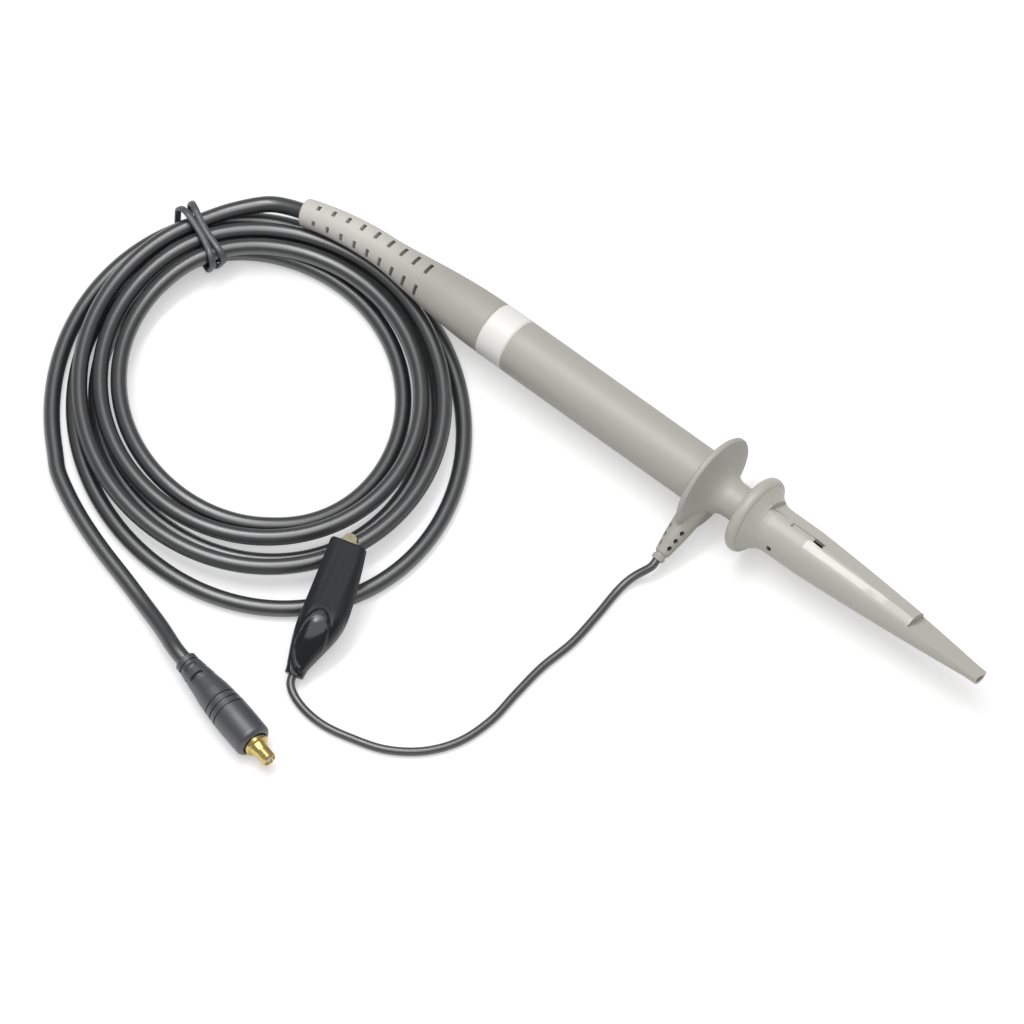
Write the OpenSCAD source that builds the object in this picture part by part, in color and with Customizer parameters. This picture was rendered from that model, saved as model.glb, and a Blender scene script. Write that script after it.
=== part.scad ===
// Oscilloscope probe with a sprung hook tip, a turning finger guard that carries the
// ground lead and its crocodile clip, and a coaxial cable coiled and tied beside it.
// The probe lies along +X with its tip forward. X positions inside the probe are
// stations, counted from the rear end of the strain relief boot. Z is up from the table.

/* [Rear boot] */
// Length of the rubber strain relief boot
boot_l = 54.8; // [45:0.1:70]
// Diameter of the boot where the cable comes out
boot_tail_d = 6.6; // [6:0.1:8]
// Diameter of the boot at the colour ring
boot_front_d = 13; // [12.6:0.1:14]
// How far the soft tail of the boot hangs out of line
boot_sag = 3.7; // [0:0.1:4]
// Length of the boot that sags
boot_sag_l = 24; // [20:0.5:28]
// Stations with slots round the boot
slot_count = 9; // [4:1:9]
// Distance between two slot stations
slot_pitch = 3.8; // [3:0.1:4]
// Width of a slot along the boot
slot_w = 0.9; // [0.8:0.1:1.8]
// Distance of the first slot from the end of the boot
slot_first = 5; // [3:0.1:5]
// Width of the web left between two slots, half way along the slots
slot_web = 3; // [2.6:0.1:3.4]
// Length round the boot of the slots nearest its tail
slot_first_l = 1; // [0.8:0.1:1.4]
// Length round the boot of the slots nearest the barrel
slot_last_l = 2.4; // [1.6:0.1:2.8]

/* [Colour ring and barrel] */
// Width of the colour ring
ring_l = 7.2; // [5:0.1:10]
// Diameter of the barrel and the colour ring
barrel_d = 13.2; // [13:0.1:15]
// Length of the barrel that shows
barrel_l = 56.6; // [50:0.1:70]
// Wall of the barrel
barrel_wall = 1.4; // [1.2:0.1:1.8]
// Thickness of the barrel's front wall
barrel_end_t = 3; // [2:0.1:4]
// Diameter of the barrel's rear spigot, over which ring and boot are pushed
spigot_d = 10.4; // [9.8:0.1:10.8]
// How far the spigot reaches into the boot
spigot_grip = 7.5; // [5:0.1:9]
// Wall of the spigot
spigot_wall = 1; // [0.8:0.1:1.4]
// Radius of the screwdriver hole for the trimmer
trim_hole_r = 1.4; // [1:0.1:1.8]

/* [Nose] */
// Diameter of the bare metal nose
nose_d = 5.8; // [5:0.1:6]
// Length of the nose in front of the barrel
nose_l = 22.8; // [21:0.1:25]
// Wall of the metal nose
nose_wall = 0.7; // [0.5:0.1:0.8]
// Diameter of the needle contact
needle_d = 1.2; // [0.8:0.1:1.4]
// Length of the needle in front of the nose
needle_out = 9; // [7:0.1:10]
// Length of the point on the needle
needle_point = 2; // [1:0.1:3]

/* [Finger guard] */
// Diameter of the finger guard
guard_d = 24.8; // [22:0.1:30]
// Thickness of the guard's rim
guard_rim_t = 1.4; // [1:0.1:2]
// Length of the flare between the guard's rim and its neck
guard_flare_l = 6.6; // [5:0.1:7]
// Diameter of the guard's neck
neck_d = 8.8; // [8.6:0.1:9]
// Length of the guard and its neck
guard_l = 13.1; // [12.5:0.1:13.6]
// Running gap between two pieces that turn or slide on each other
running_gap = 0.3; // [0.2:0.05:0.35]

/* [Hook sleeve] */
// Gap between the end of the neck inside the sleeve and the rear of the sleeve
sleeve_lap = 1.2; // [0.8:0.1:2]
// Length of the hook sleeve
sleeve_l = 68; // [66:0.1:76]
// Diameter of the sleeve's flange
flange_d = 19.4; // [16:0.1:22]
// Thickness of the flange's rounded rim
flange_t = 3; // [2.4:0.1:3.6]
// Length of the cone in front of the flange
flange_cone_l = 5; // [4:0.1:7]
// Diameter of the sleeve in front of the flange
sleeve_d = 11.4; // [11.2:0.1:12]
// Diameter of the sleeve at its tip
sleeve_tip_d = 4.9; // [4.6:0.1:6]
// Length of the flat cut at the sleeve's tip
chisel_l = 20; // [14:0.5:24]
// How far the tip's flat leans over to the side
chisel_turn = 28; // [0:1:40]
// Height of the facet along the sleeve over the axis
facet_h = 4.95; // [4.7:0.05:5.4]
// How far the facet leans over to the side
facet_turn = 38; // [0:1:60]
// Travel of the sleeve towards the guard
sleeve_travel = 4.5; // [3.8:0.1:4.6]

/* [Hook and spring] */
// Diameter of the hook wire
hook_wire_d = 0.7; // [0.5:0.05:0.75]
// Gap inside the hook, for a component lead
hook_gap = 1; // [0.8:0.05:1.1]
// Length of the hook's short leg
hook_leg = 2; // [1:0.1:4]
// Outer diameter of the hook core
core_d = 7.6; // [7.4:0.1:7.8]
// Diameter of the hook core's narrower front
core_front_d = 5.8; // [5.4:0.1:6]
// Wire diameter of the hook spring
spring_wire_d = 0.5; // [0.4:0.05:0.6]
// Mean diameter of the hook spring
spring_d = 4.8; // [4.4:0.1:5]
// Turns of the hook spring
spring_turns = 9; // [6:1:9]

/* [Cable] */
// Diameter of the coaxial cable
cable_d = 3.8; // [3.4:0.1:3.8]
// Loops of the coil, counted from the place where the cable leaves the probe
coil_loops = 5.27; // [5.22:0.01:5.32]
// Half width of the coil's outermost loop, along its short side
coil_a = 46.6; // [45:0.1:48]
// Half width of the coil's outermost loop, along its long side
coil_b = 54.8; // [51:0.1:55.4]
// Step between neighbouring loops where the coil is tied
coil_step = 4.35; // [4.35:0.05:4.7]
// Most that a loop is drawn in on the side opposite the tie
coil_belly = 17; // [15:0.5:19]
// How far the upper layer leans over the lower one
coil_lean = 3; // [2.6:0.1:3.2]
// Height step between the two layers of the coil
coil_layer = 4.25; // [4.25:0.05:4.6]
// Width of the tie's straps
tie_w = 1.6; // [1.2:0.1:2.4]
// Thickness of the tie's straps
tie_t = 0.9; // [0.8:0.1:1.2]

/* [Plug] */
// Length of the plug's rubber overmould
mould_l = 27; // [25:0.1:32]
// Diameter of the overmould at its front
mould_d = 9; // [8.8:0.1:10.4]
// Diameter of the overmould at the cable
mould_neck_d = 5.4; // [5.2:0.1:6]
// Diameter of the plug's contact barrel
contact_d = 3.6; // [3.5:0.05:3.8]
// Length of the contact barrel
contact_l = 3; // [2.4:0.1:3.6]
// Diameter of the contact's root at the shoulder
contact_root_d = 4.5; // [4:0.1:5]
// Length over which the root narrows to the barrel
contact_root_l = 1.6; // [1:0.1:2]
// Diameter of the plug's shoulder
shoulder_d = 5.8; // [5.4:0.1:6.4]
// Length of the shoulder that shows
shoulder_l = 1.2; // [0.8:0.1:1.6]

/* [Ground lead and clip] */
// Diameter of the ground lead
lead_d = 2; // [1.6:0.1:2.2]
// Diameter of the lead's boot, carried through to the probe's axis
lead_boot_d = 7.8; // [6:0.1:8]
// Distance of the lead boot's end from the probe's axis
lead_boot_reach = 21.3; // [18:0.1:24]
// Diameter of the lead's boot at its end
lead_boot_end_d = 3.3; // [3.1:0.1:3.6]
// Length of the clip's metal jaws
clip_l = 33; // [32.5:0.1:36]
// Width of the clip's jaws
clip_w = 4.8; // [4.8:0.1:5.6]
// Thickness of the clip's sheet metal
sheet_t = 0.6; // [0.4:0.05:0.65]
// Length of the clip's soft cover
cover_l = 32.8; // [32:0.1:33.4]
// Distance from the end of the cover to the clip's pivot
pivot_x = 16; // [15.5:0.1:16.5]
// Wall of the clip's soft cover
cover_wall = 0.7; // [0.5:0.05:0.75]

/* [Hidden] */

plastic_grey = "#B9B8AE";
rubber_grey = "#B3B2AA";
cable_black = "#3C3D40";
cover_black = "#2C2D30";
steel = "#B9BBBE";
nickel = "#C9C9C4";
gold = "#D9B860";

round_fn = 72;
fine_fn = 40;
eps = 0.01;
// Clearance between pieces of one assembly that are pushed together
fit_gap = 0.05;

// ---- stations along the probe ----
boot_r = boot_front_d / 2;
barrel_r = barrel_d / 2;
ring_x = boot_l;
barrel_x = ring_x + ring_l;
barrel_front = barrel_x + barrel_l;
guard_x = barrel_front + running_gap;
guard_front = guard_x + guard_l;
sleeve_x = guard_front - sleeve_lap;
sleeve_front = sleeve_x + sleeve_l;
nose_front = barrel_front + nose_l;
probe_l = sleeve_front;
axis_z = guard_d / 2;

cable_r = cable_d / 2;
nose_r = nose_d / 2;
neck_r = neck_d / 2;
barrel_in_r = barrel_r - barrel_wall;
spigot_r = spigot_d / 2;
spigot_in_r = spigot_r - spigot_wall;

// ---- frames ----
// Places children so that station 0 and the probe's axis become their origin
module on_axis() {
    translate([-probe_l / 2, 0, axis_z]) children();
}

// Turns a profile of [station, radius] points about the X axis
module turned(profile, fn = round_fn) {
    rotate([0, 90, 0]) rotate_extrude($fn = fn)
        polygon([for (p = profile) [p[1], p[0]]]);
}

// A rod along X between two stations
module rod(x0, x1, r, fn = fine_fn) {
    translate([x0, 0, 0]) rotate([0, 90, 0]) cylinder(r = r, h = x1 - x0, $fn = fn);
}

// A tube along X between two stations
module pipe(x0, x1, r_out, r_in, fn = round_fn) {
    difference() {
        rod(x0, x1, r_out, fn);
        rod(x0 - 1, x1 + 1, r_in, fn);
    }
}

// ---- swept tubes ----
function unit(v) = v / norm(v);
function smooth(x) = let (c = min(max(x, 0), 1)) c * c * (3 - 2 * c);
function wrap180(d) = d - 360 * floor((d + 180) / 360);
function turned(p, a) = [p[0] * cos(a) - p[1] * sin(a), p[0] * sin(a) + p[1] * cos(a)];

// Point on a Catmull-Rom curve between b and c
function curve_point(a, b, c, d, t) =
    0.5 * (2 * b + (c - a) * t + (2 * a - 5 * b + 4 * c - d) * t * t
        + (3 * b - a - 3 * c + d) * t * t * t);

// A route through hand-set points, with one more point inside each step
function refine(p) = let (n = len(p)) concat(
    [for (i = [0 : n - 2]) each [p[i],
        curve_point(p[max(i - 1, 0)], p[i], p[i + 1], p[min(i + 2, n - 1)], 0.5)]],
    [p[n - 1]]);

function heading(p, i) = let (n = len(p))
    i == 0 ? unit(p[1] - p[0]) : i == n - 1 ? unit(p[n - 1] - p[n - 2])
    : unit(unit(p[i + 1] - p[i]) + unit(p[i] - p[i - 1]));

// Rings of points square to a route; radii holds one radius per point
function ring_points(p, radii, sides, up) = [for (i = [0 : len(p) - 1])
    let (t = heading(p, i), side = unit(cross(up, t)), top = cross(t, side))
    for (j = [0 : sides - 1])
        p[i] + radii[i] * (cos(360 * j / sides) * side + sin(360 * j / sides) * top)];

function tube_faces(rings, sides) = concat(
    [for (i = [0 : rings - 2], j = [0 : sides - 1], half = [0, 1])
        let (a = i * sides + j, b = i * sides + (j + 1) % sides)
            half == 0 ? [a, a + sides, b + sides] : [a, b + sides, b]],
    [for (j = [1 : sides - 2]) [0, j, j + 1]],
    [for (j = [1 : sides - 2]) let (e = (rings - 1) * sides) [e, e + j + 1, e + j]]);

module tube(p, radii, sides, up = [0, 0, 1]) {
    polyhedron(ring_points(p, radii, sides, up), tube_faces(len(p), sides), convexity = 10);
}

module cord(p, r, sides = 8) {
    tube(p, [for (q = p) r], sides);
}

// ---- rear boot ----
sag_way = [0, -0.7, -0.714];
sag_slope = atan(2 * boot_sag / boot_sag_l);
boot_tail_x = boot_tail_d / 2 * sin(sag_slope);

// Centre line of the boot at a station: straight in front, sagging towards the tail
function boot_centre(x) =
    [x, 0, 0] + boot_sag * pow(max(boot_sag_l - x, 0) / boot_sag_l, 2) * sag_way;
function boot_heading(x) =
    unit([1, 0, 0] - 2 * boot_sag * max(boot_sag_l - x, 0) / pow(boot_sag_l, 2) * sag_way);
// Radius of the boot at a share s of its length, from the tail to the front
function boot_radius(s) = boot_tail_d / 2 + (boot_r - boot_tail_d / 2)
    * (s < 0.42 ? 0.18 * s / 0.42 : 0.18 + 0.82 * pow(sin(90 * (s - 0.42) / 0.58), 1.25));

boot_rings = 20;
boot_xs = [for (i = [0 : boot_rings]) boot_tail_x + (boot_l - boot_tail_x) * i / boot_rings];
boot_path = [for (x = boot_xs) boot_centre(x)];
boot_radii = [for (x = boot_xs) boot_radius(x / boot_l)];
boot_pocket_x = boot_l - spigot_grip - 1;
cable_end_x = barrel_x;
slot_bottom = 1.2;
slot_turn = 30;

module at_boot(x) {
    h = boot_heading(x);
    translate(boot_centre(x)) rotate([0, -asin(h[2]), atan2(h[1], h[0])]) children();
}

module rear_boot() color(rubber_grey) on_axis() {
    bore_xs = concat([boot_tail_x - 2], [for (i = [1 : 2 : boot_rings - 2]) boot_xs[i]], [boot_l + 1]);
    difference() {
        tube(boot_path, boot_radii, 28);
        tube([for (x = bore_xs) boot_centre(x)], [for (x = bore_xs) cable_r + fit_gap + 0.1], 14);
        rod(boot_pocket_x, boot_l + 1, spigot_r + fit_gap, round_fn);
        for (i = [0 : slot_count - 1])
            boot_slots(slot_first + i * slot_pitch, i / max(slot_count - 1, 1));
    }
}

// Four slots at one station, through to the cable: one on each side of the upper web and of
// the lower one. share is 0 at the tail's station and 1 at the station nearest the barrel.
module boot_slots(x, share) {
    l = slot_first_l + (slot_last_l - slot_first_l) * share;
    web = slot_web * (0.9 + 0.2 * share);
    for (turn = [slot_turn, slot_turn + 180], side = [0, 1]) at_boot(x) rotate([turn, 0, 0])
        translate([-slot_w / 2, side == 0 ? web / 2 : -web / 2 - l, slot_bottom])
            cube([slot_w, l, boot_r]);
}

// ---- colour ring and barrel ----
edge_r = 0.35;

module colour_ring() color("#E9E8E1") on_axis() turned([
    [ring_x, spigot_r + fit_gap], [ring_x, barrel_r - edge_r], [ring_x + edge_r, barrel_r],
    [barrel_x - edge_r, barrel_r], [barrel_x, barrel_r - edge_r], [barrel_x, spigot_r + fit_gap]]);

board_x = barrel_x + 6;
trimmer_x = board_x + 12;

module barrel() color(plastic_grey) on_axis() difference() {
    turned([
        [boot_pocket_x + 1, spigot_in_r], [boot_pocket_x + 1, spigot_r], [barrel_x, spigot_r],
        [barrel_x, barrel_r - edge_r], [barrel_x + edge_r, barrel_r],
        [barrel_front - edge_r, barrel_r], [barrel_front, barrel_r - edge_r],
        [barrel_front, nose_r + fit_gap], [barrel_front - barrel_end_t, nose_r + fit_gap],
        [barrel_front - barrel_end_t, barrel_in_r], [barrel_x + 0.6, barrel_in_r],
        [barrel_x + 0.6, spigot_in_r]]);
    translate([trimmer_x, 0, -barrel_r - 1])
        cylinder(r = trim_hole_r, h = barrel_wall + 2, $fn = fine_fn);
}

// ---- inside the barrel ----
shield_r = barrel_in_r - 0.15;
shield_t = 0.4;
shield_x = barrel_x + 0.8;
nose_flange_t = 1.6;
nose_flange_x = barrel_front - barrel_end_t - nose_flange_t;
shield_front = nose_flange_x;
needle_r = needle_d / 2;
board_l = 38;
board_t = 1;
board_top = -needle_r;
board_w = 7.8;
trimmer_r = 2.1;
trimmer_h = 2.1;
rotor_r = 1.3;
rotor_gap = 0.1;
rotor_h = 1.3;
wire_r = 0.6;

module shield_tube() color(nickel) on_axis() difference() {
    pipe(shield_x, shield_front, shield_r, shield_r - shield_t);
    translate([trimmer_x, 0, -barrel_r])
        cylinder(r = trim_hole_r, h = barrel_r, $fn = fine_fn);
}

ferrule_in = cable_r + fit_gap;
ferrule_out = ferrule_in + 0.65;

module cable_ferrule() color(nickel) on_axis() turned([
    [barrel_x - 10, ferrule_in], [barrel_x - 10, ferrule_out], [shield_x + 0.1, ferrule_out],
    [shield_x + 0.1, shield_r - shield_t - fit_gap], [shield_x + 1.3, shield_r - shield_t - fit_gap],
    [shield_x + 1.3, ferrule_in]]);

module circuit_board() color("#3F7A52") on_axis()
    translate([board_x, -board_w / 2, board_top - board_t]) cube([board_l, board_w, board_t]);

needle_back = board_x + board_l - 4;
resistor_r = 1.1;
resistor_l = 6.3;
resistor_x = needle_back - 12;
resistor_wire_r = 0.25;

module input_resistor() color("#7E9CC0") on_axis() translate([0, 0, board_top + resistor_r]) {
    rod(resistor_x, resistor_x + resistor_l, resistor_r);
    rod(resistor_x - 3, resistor_x + eps, resistor_wire_r, 24);
    rod(resistor_x + resistor_l - eps, needle_back, resistor_wire_r, 24);
}

module signal_wire() color("#E6E2D8") on_axis() rod(cable_end_x, board_x + 4, wire_r);

module trimmer_body() color("#D8D2C0") on_axis() translate([trimmer_x, 0, board_top - board_t])
    difference() {
        translate([0, 0, -trimmer_h]) cylinder(r = trimmer_r, h = trimmer_h, $fn = fine_fn);
        translate([0, 0, -trimmer_h - 1])
            cylinder(r = rotor_r + rotor_gap, h = rotor_h + 1, $fn = fine_fn);
    }

module trimmer_rotor() color("#C9A54E") on_axis()
    translate([trimmer_x, 0, board_top - board_t - trimmer_h - 0.1]) difference() {
        cylinder(r = rotor_r, h = rotor_h, $fn = fine_fn);
        translate([-0.25, -rotor_r - 1, -1]) cube([0.5, 2 * rotor_r + 2, 1.5]);
    }

// ---- nose ----
module ground_sleeve() color(nickel) on_axis() turned([
    [nose_flange_x, nose_r - nose_wall], [nose_flange_x, shield_r],
    [nose_flange_x + nose_flange_t - 0.05, shield_r], [nose_flange_x + nose_flange_t - 0.05, nose_r],
    [nose_front - 0.4, nose_r], [nose_front, nose_r - 0.3], [nose_front, nose_r - nose_wall]]);

module nose_insulator() color("#E9E6DC") on_axis() difference() {
    turned([
        [nose_flange_x - 1.5, 0], [nose_flange_x - 1.5, nose_r - nose_wall - fit_gap],
        [nose_front + 0.6, nose_r - nose_wall - fit_gap], [nose_front + 1.4, needle_r + 0.4],
        [nose_front + 1.4, 0]]);
    rod(nose_flange_x - 3, nose_front + 3, needle_r + fit_gap);
}

needle_front = nose_front + needle_out;

module tip_needle() color(gold) on_axis() turned([
    [needle_back, 0], [needle_back, needle_r], [needle_front - needle_point, needle_r],
    [needle_front - 0.2, 0.12], [needle_front, 0]], fine_fn);

// ---- finger guard ----
guard_r = guard_d / 2;
contact_out_r = nose_r + 0.8;
contact_x = guard_x + 0.5;
ring_contact_l = guard_l - 3;
flare_steps = 10;

// The guard's front face, from the rim down to the neck
function flare(s) = [guard_x + guard_rim_t + guard_flare_l * s,
    neck_r + (guard_r - 0.25 - neck_r) * pow(1 - s, 3)];

module finger_guard() color(plastic_grey) on_axis() difference() {
    turned(concat(
        [[guard_x, contact_out_r + fit_gap], [guard_x, guard_r - 0.5], [guard_x + 0.45, guard_r],
            [guard_x + guard_rim_t - 0.4, guard_r]],
        [for (i = [0 : flare_steps]) flare(i / flare_steps)],
        [[guard_front, neck_r], [guard_front, nose_r + 0.15],
            [contact_x + ring_contact_l + 0.1, nose_r + 0.15],
            [contact_x + ring_contact_l + 0.1, contact_out_r + fit_gap]]), 96);
    lead_boot_form(fit_gap);
}

module contact_ring() color(nickel) on_axis()
    pipe(contact_x, contact_x + ring_contact_l, contact_out_r, nose_r + 0.07);

// ---- ground lead's boot and terminal, measured from station and axis ----
boot_dip = 21;
boot_at = guard_x + 1.05;
lead_way = [0, -cos(boot_dip), -sin(boot_dip)];
boot_start = [boot_at, 0, 0];
boot_end = boot_start + lead_boot_reach * lead_way;
lead_boot_l = lead_boot_reach;
terminal_r = 0.8;
terminal_l = 9;

// Children's +X becomes the way that the lead leaves the guard
module on_lead_boot() {
    translate(boot_start) rotate([0, boot_dip, -90]) children();
}

// The boot's outer form, larger by grow
module lead_boot_form(grow = 0) on_lead_boot() turned([
    [0, 0], [0, lead_boot_d / 2 + grow], [lead_boot_l - 6.5, lead_boot_end_d / 2 + 0.8 + grow],
    [lead_boot_l - 1.9, lead_boot_end_d / 2 + 0.1 + grow],
    [lead_boot_l - 1.6, lead_boot_end_d / 2 - 0.3], [lead_boot_l - 1.2, lead_boot_end_d / 2 - 0.3],
    [lead_boot_l - 0.9, lead_boot_end_d / 2], [lead_boot_l, lead_boot_end_d / 2 - 0.15],
    [lead_boot_l, 0]], fine_fn);

lead_hole_pitch = 2.2;
lead_hole_r = 0.6;

module lead_boot() color(rubber_grey) on_axis() difference() {
    lead_boot_form();
    rod(guard_x - 10, guard_front + 1, contact_out_r + fit_gap, round_fn);
    rod(guard_x - 10, guard_x, barrel_r + running_gap, round_fn);
    on_lead_boot() {
        rod(0, terminal_l + fit_gap, terminal_r + fit_gap);
        rod(terminal_l, lead_boot_l + 1, lead_d / 2 + fit_gap);
    }
    for (i = [0 : 2], k = [0 : 3]) on_lead_boot() rotate([90 * k + 45, 0, 0])
        translate([lead_boot_l - 3.6 - i * lead_hole_pitch, 0, 0.5])
            cylinder(r = lead_hole_r, h = 3, $fn = 24);
}

module lead_terminal() color(nickel) on_axis() difference() {
    on_lead_boot() rod(0, terminal_l, terminal_r);
    rod(guard_x - 5, guard_front + 1, contact_out_r, round_fn);
}

// ---- crocodile clip, built along +X with its jaws opening in Z ----
clip_tail = [-23.6, -95.4, 2.9];
clip_yaw = 105.5;
clip_tilt = 21;

module on_clip() {
    translate(clip_tail) rotate([0, -clip_tilt, clip_yaw]) children();
}
// The same placing for a point
function clip_point(x) = clip_tail + x * [cos(clip_tilt) * cos(clip_yaw),
    cos(clip_tilt) * sin(clip_yaw), sin(clip_tilt)];

crimp_x = 2.5;
crimp_l = 4.5;
crimp_r = lead_d / 2 + 0.55;
jaw_top = 2.7;
jaw_low = 2.3;
jaw_front = crimp_x + clip_l - 0.5;
rivet_r = 0.7;
tooth_pitch = 1.4;
tooth_count = 6;
tip_taper = 0.75;
tip_taper_l = 5;

// An outline in X and Z, made as wide as w about the clip's middle
module slab(w, outline) {
    translate([0, w / 2, 0]) rotate([90, 0, 0]) linear_extrude(w) polygon(outline);
}

module teeth_cut(z) {
    for (i = [0 : tooth_count - 1]) translate([jaw_front - 1.6 - i * tooth_pitch, -clip_w, z])
        rotate([0, 45, 0]) cube([0.6, 2 * clip_w, 0.6], center = false);
}

// Slopes that narrow the jaws towards their tip, and its round end
module jaw_tip_cut() {
    end_r = clip_w / 2 - tip_taper;
    difference() {
        translate([jaw_front - end_r, -clip_w, -5]) cube([end_r + 4, 2 * clip_w, 10]);
        translate([jaw_front - end_r, 0, -6]) cylinder(r = end_r, h = 12, $fn = fine_fn);
    }
    for (side = [-1, 1]) translate([jaw_front - tip_taper_l, side * clip_w / 2, -5])
        rotate([0, 0, -side * atan(tip_taper / tip_taper_l)])
            translate([-1, side > 0 ? 0 : -4, 0]) cube([tip_taper_l + 4, 4, 10]);
}

module clip_lower_jaw() color(steel) on_clip() difference() {
    plate_x = crimp_x + crimp_l - 1;
    union() {
        difference() {
            slab(clip_w, [[plate_x, -crimp_r], [plate_x + 5, -jaw_low], [pivot_x + 3, -jaw_low],
                [jaw_front, -1.2], [jaw_front, -0.15], [pivot_x + 11, -0.15], [pivot_x + 4, 1],
                [pivot_x - 4, 1], [pivot_x - 6, -1], [plate_x, -0.6]]);
            slab(clip_w - 2 * sheet_t, [[plate_x + 2, -jaw_low + sheet_t],
                [pivot_x + 3, -jaw_low + sheet_t], [jaw_front - sheet_t, -1.2 + sheet_t],
                [jaw_front - sheet_t, 5], [plate_x + 2, 5]]);
        }
        rod(crimp_x, crimp_x + crimp_l, crimp_r);
    }
    rod(crimp_x - 1, crimp_x + crimp_l + 2, lead_d / 2);
    translate([pivot_x, clip_w, 0]) rotate([90, 0, 0])
        cylinder(r = rivet_r + 0.02, h = 2 * clip_w, $fn = fine_fn);
    teeth_cut(-0.15 + 0.25);
    jaw_tip_cut();
}

jaw_in_w = clip_w - 2 * sheet_t - 0.2;

module clip_upper_jaw() color(steel) on_clip() difference() {
    union() {
        slab(jaw_in_w, [[pivot_x - 7, 3], [pivot_x - 2.5, jaw_top], [pivot_x + 4, jaw_top],
            [pivot_x + 9, 2.3], [pivot_x + 9, 0.1], [pivot_x + 3, -0.9], [pivot_x - 2, -0.9],
            [pivot_x - 4, 1.6], [pivot_x - 7, 2.4]]);
        slab(clip_w, [[pivot_x + 8, 2.3], [jaw_front, 1.2], [jaw_front, 0.15], [pivot_x + 11, 0.15],
            [pivot_x + 8, 1.2]]);
    }
    slab(jaw_in_w - 2 * sheet_t, [[0, -5], [0, 2.4], [pivot_x - 2.5, jaw_top - sheet_t],
        [pivot_x + 4, jaw_top - sheet_t], [jaw_front - sheet_t, 1.2 - sheet_t],
        [jaw_front - sheet_t, -5]]);
    translate([pivot_x, clip_w, 0]) rotate([90, 0, 0])
        cylinder(r = rivet_r + 0.08, h = 2 * clip_w, $fn = fine_fn);
    teeth_cut(0.15 + 0.6);
    jaw_tip_cut();
}

module clip_rivet() color(nickel) on_clip() translate([pivot_x, 0, 0]) rotate([90, 0, 0]) {
    translate([0, 0, -clip_w / 2 - eps]) cylinder(r = rivet_r, h = clip_w + 2 * eps, $fn = fine_fn);
    for (side = [-1, 1]) translate([0, 0, side * (clip_w / 2 + 0.2)])
        cylinder(r = 1.2, h = 0.4, center = true, $fn = fine_fn);
}

clip_spring_r = 1.1;
clip_spring_wire = 0.5;
clip_spring_turns = 3;
clip_spring_w = jaw_in_w - 2 * sheet_t - clip_spring_wire - 0.3;

// Arms at the first and last turn press on the two jaws
clip_spring_rings = 8 * clip_spring_turns + 4;
clip_spring_path = concat(
    [[pivot_x - 4.5, -clip_spring_w / 2, -clip_spring_r - 0.15]],
    [for (i = [0 : clip_spring_rings]) let (a = 270 + 45 * i) [pivot_x + clip_spring_r * cos(a),
        clip_spring_w * (i / clip_spring_rings - 0.5), clip_spring_r * sin(a)]],
    [[pivot_x - 4.5, clip_spring_w / 2, clip_spring_r + 0.6]]);

module clip_spring() color(steel) on_clip()
    tube(clip_spring_path, [for (q = clip_spring_path) clip_spring_wire / 2], 6, [0, 1, 0]);

// The soft cover's sections: [station, half width, top, bottom, shift to its side]
cover_form = [
    [0, 2.2, 2.1, 2.1, 0], [3, 2.7, 2.6, 2.4, 0], [8, 4.2, 3.9, 3.2, -0.5], [12, 5.1, 4.4, 3.6, -1],
    [16, 5.3, 4.3, 3.7, -1.2], [22, 5, 3.9, 3.6, -0.9], [28, 4.6, 3.4, 3, -0.4],
    [31.8, 4.3, 3, 2.6, 0], [cover_l, 4, 2.7, 2.4, 0]];
cover_sides = 20;

// A ring of the cover, drawn in by inset: a rounded box of changing height
function cover_ring(f, inset) = [for (j = [0 : cover_sides - 1])
    let (a = 360 * j / cover_sides, c = cos(a), s = sin(a),
        k = 1 / pow(pow(abs(c), 2.8) + pow(abs(s), 2.8), 1 / 2.8),
        h = (s > 0 ? f[2] : f[3]) - inset)
    [f[0], f[4] + (f[1] - inset) * k * c, h * k * s]];

module cover_body(forms, inset) {
    polyhedron([for (f = forms) each cover_ring(f, inset)],
        tube_faces(len(forms), cover_sides), convexity = 6);
}

module clip_cover() color(cover_black) on_clip() {
    inner = [for (f = cover_form) if (f[0] > 3)
        [f[0] == cover_l ? cover_l + 1 : f[0], min(f[1], 4.3), f[2], f[3], f[4] / 8]];
    difference() {
        cover_body(cover_form, 0);
        cover_body(concat([[crimp_x - 0.3, crimp_r + 0.2 + cover_wall, crimp_r + 0.2 + cover_wall,
            crimp_r + 0.2 + cover_wall, 0]], inner), cover_wall);
        rod(-1, crimp_x + 1, lead_d / 2 + 0.1);
    }
}

// ---- ground lead: its route along the table, from its boot to the clip ----
lead_points = [
    [18.4, -25.6, 2.3], [17.6, -30, 1.2], [18.2, -38.5, 1.1], [18.5, -47.5, 1.1], [17.4, -56.8, 1.1],
    [17.4, -66, 1.1], [17.6, -75, 1.1], [15.7, -83.8, 1.1], [11.1, -91, 1.1], [4.4, -96.1, 1.1],
    [-3, -98.7, 1.1], [-11, -100.3, 1.1], [-18.2, -99.6, 1.3]];

// A point on the probe, given by station and offset from the axis, in the table's frame
function probe_point(p) = p + [-probe_l / 2, 0, axis_z];

lead_start = probe_point(boot_end);
lead_root = lead_start - (lead_boot_l - terminal_l - fit_gap) * lead_way;
lead_route = concat([lead_root, lead_start], refine(concat([lead_start + lead_d * lead_way], lead_points,
    [clip_point(-lead_d)])), [clip_point(crimp_x)]);

module ground_lead() color(cable_black) cord(lead_route, lead_d / 2);

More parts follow.
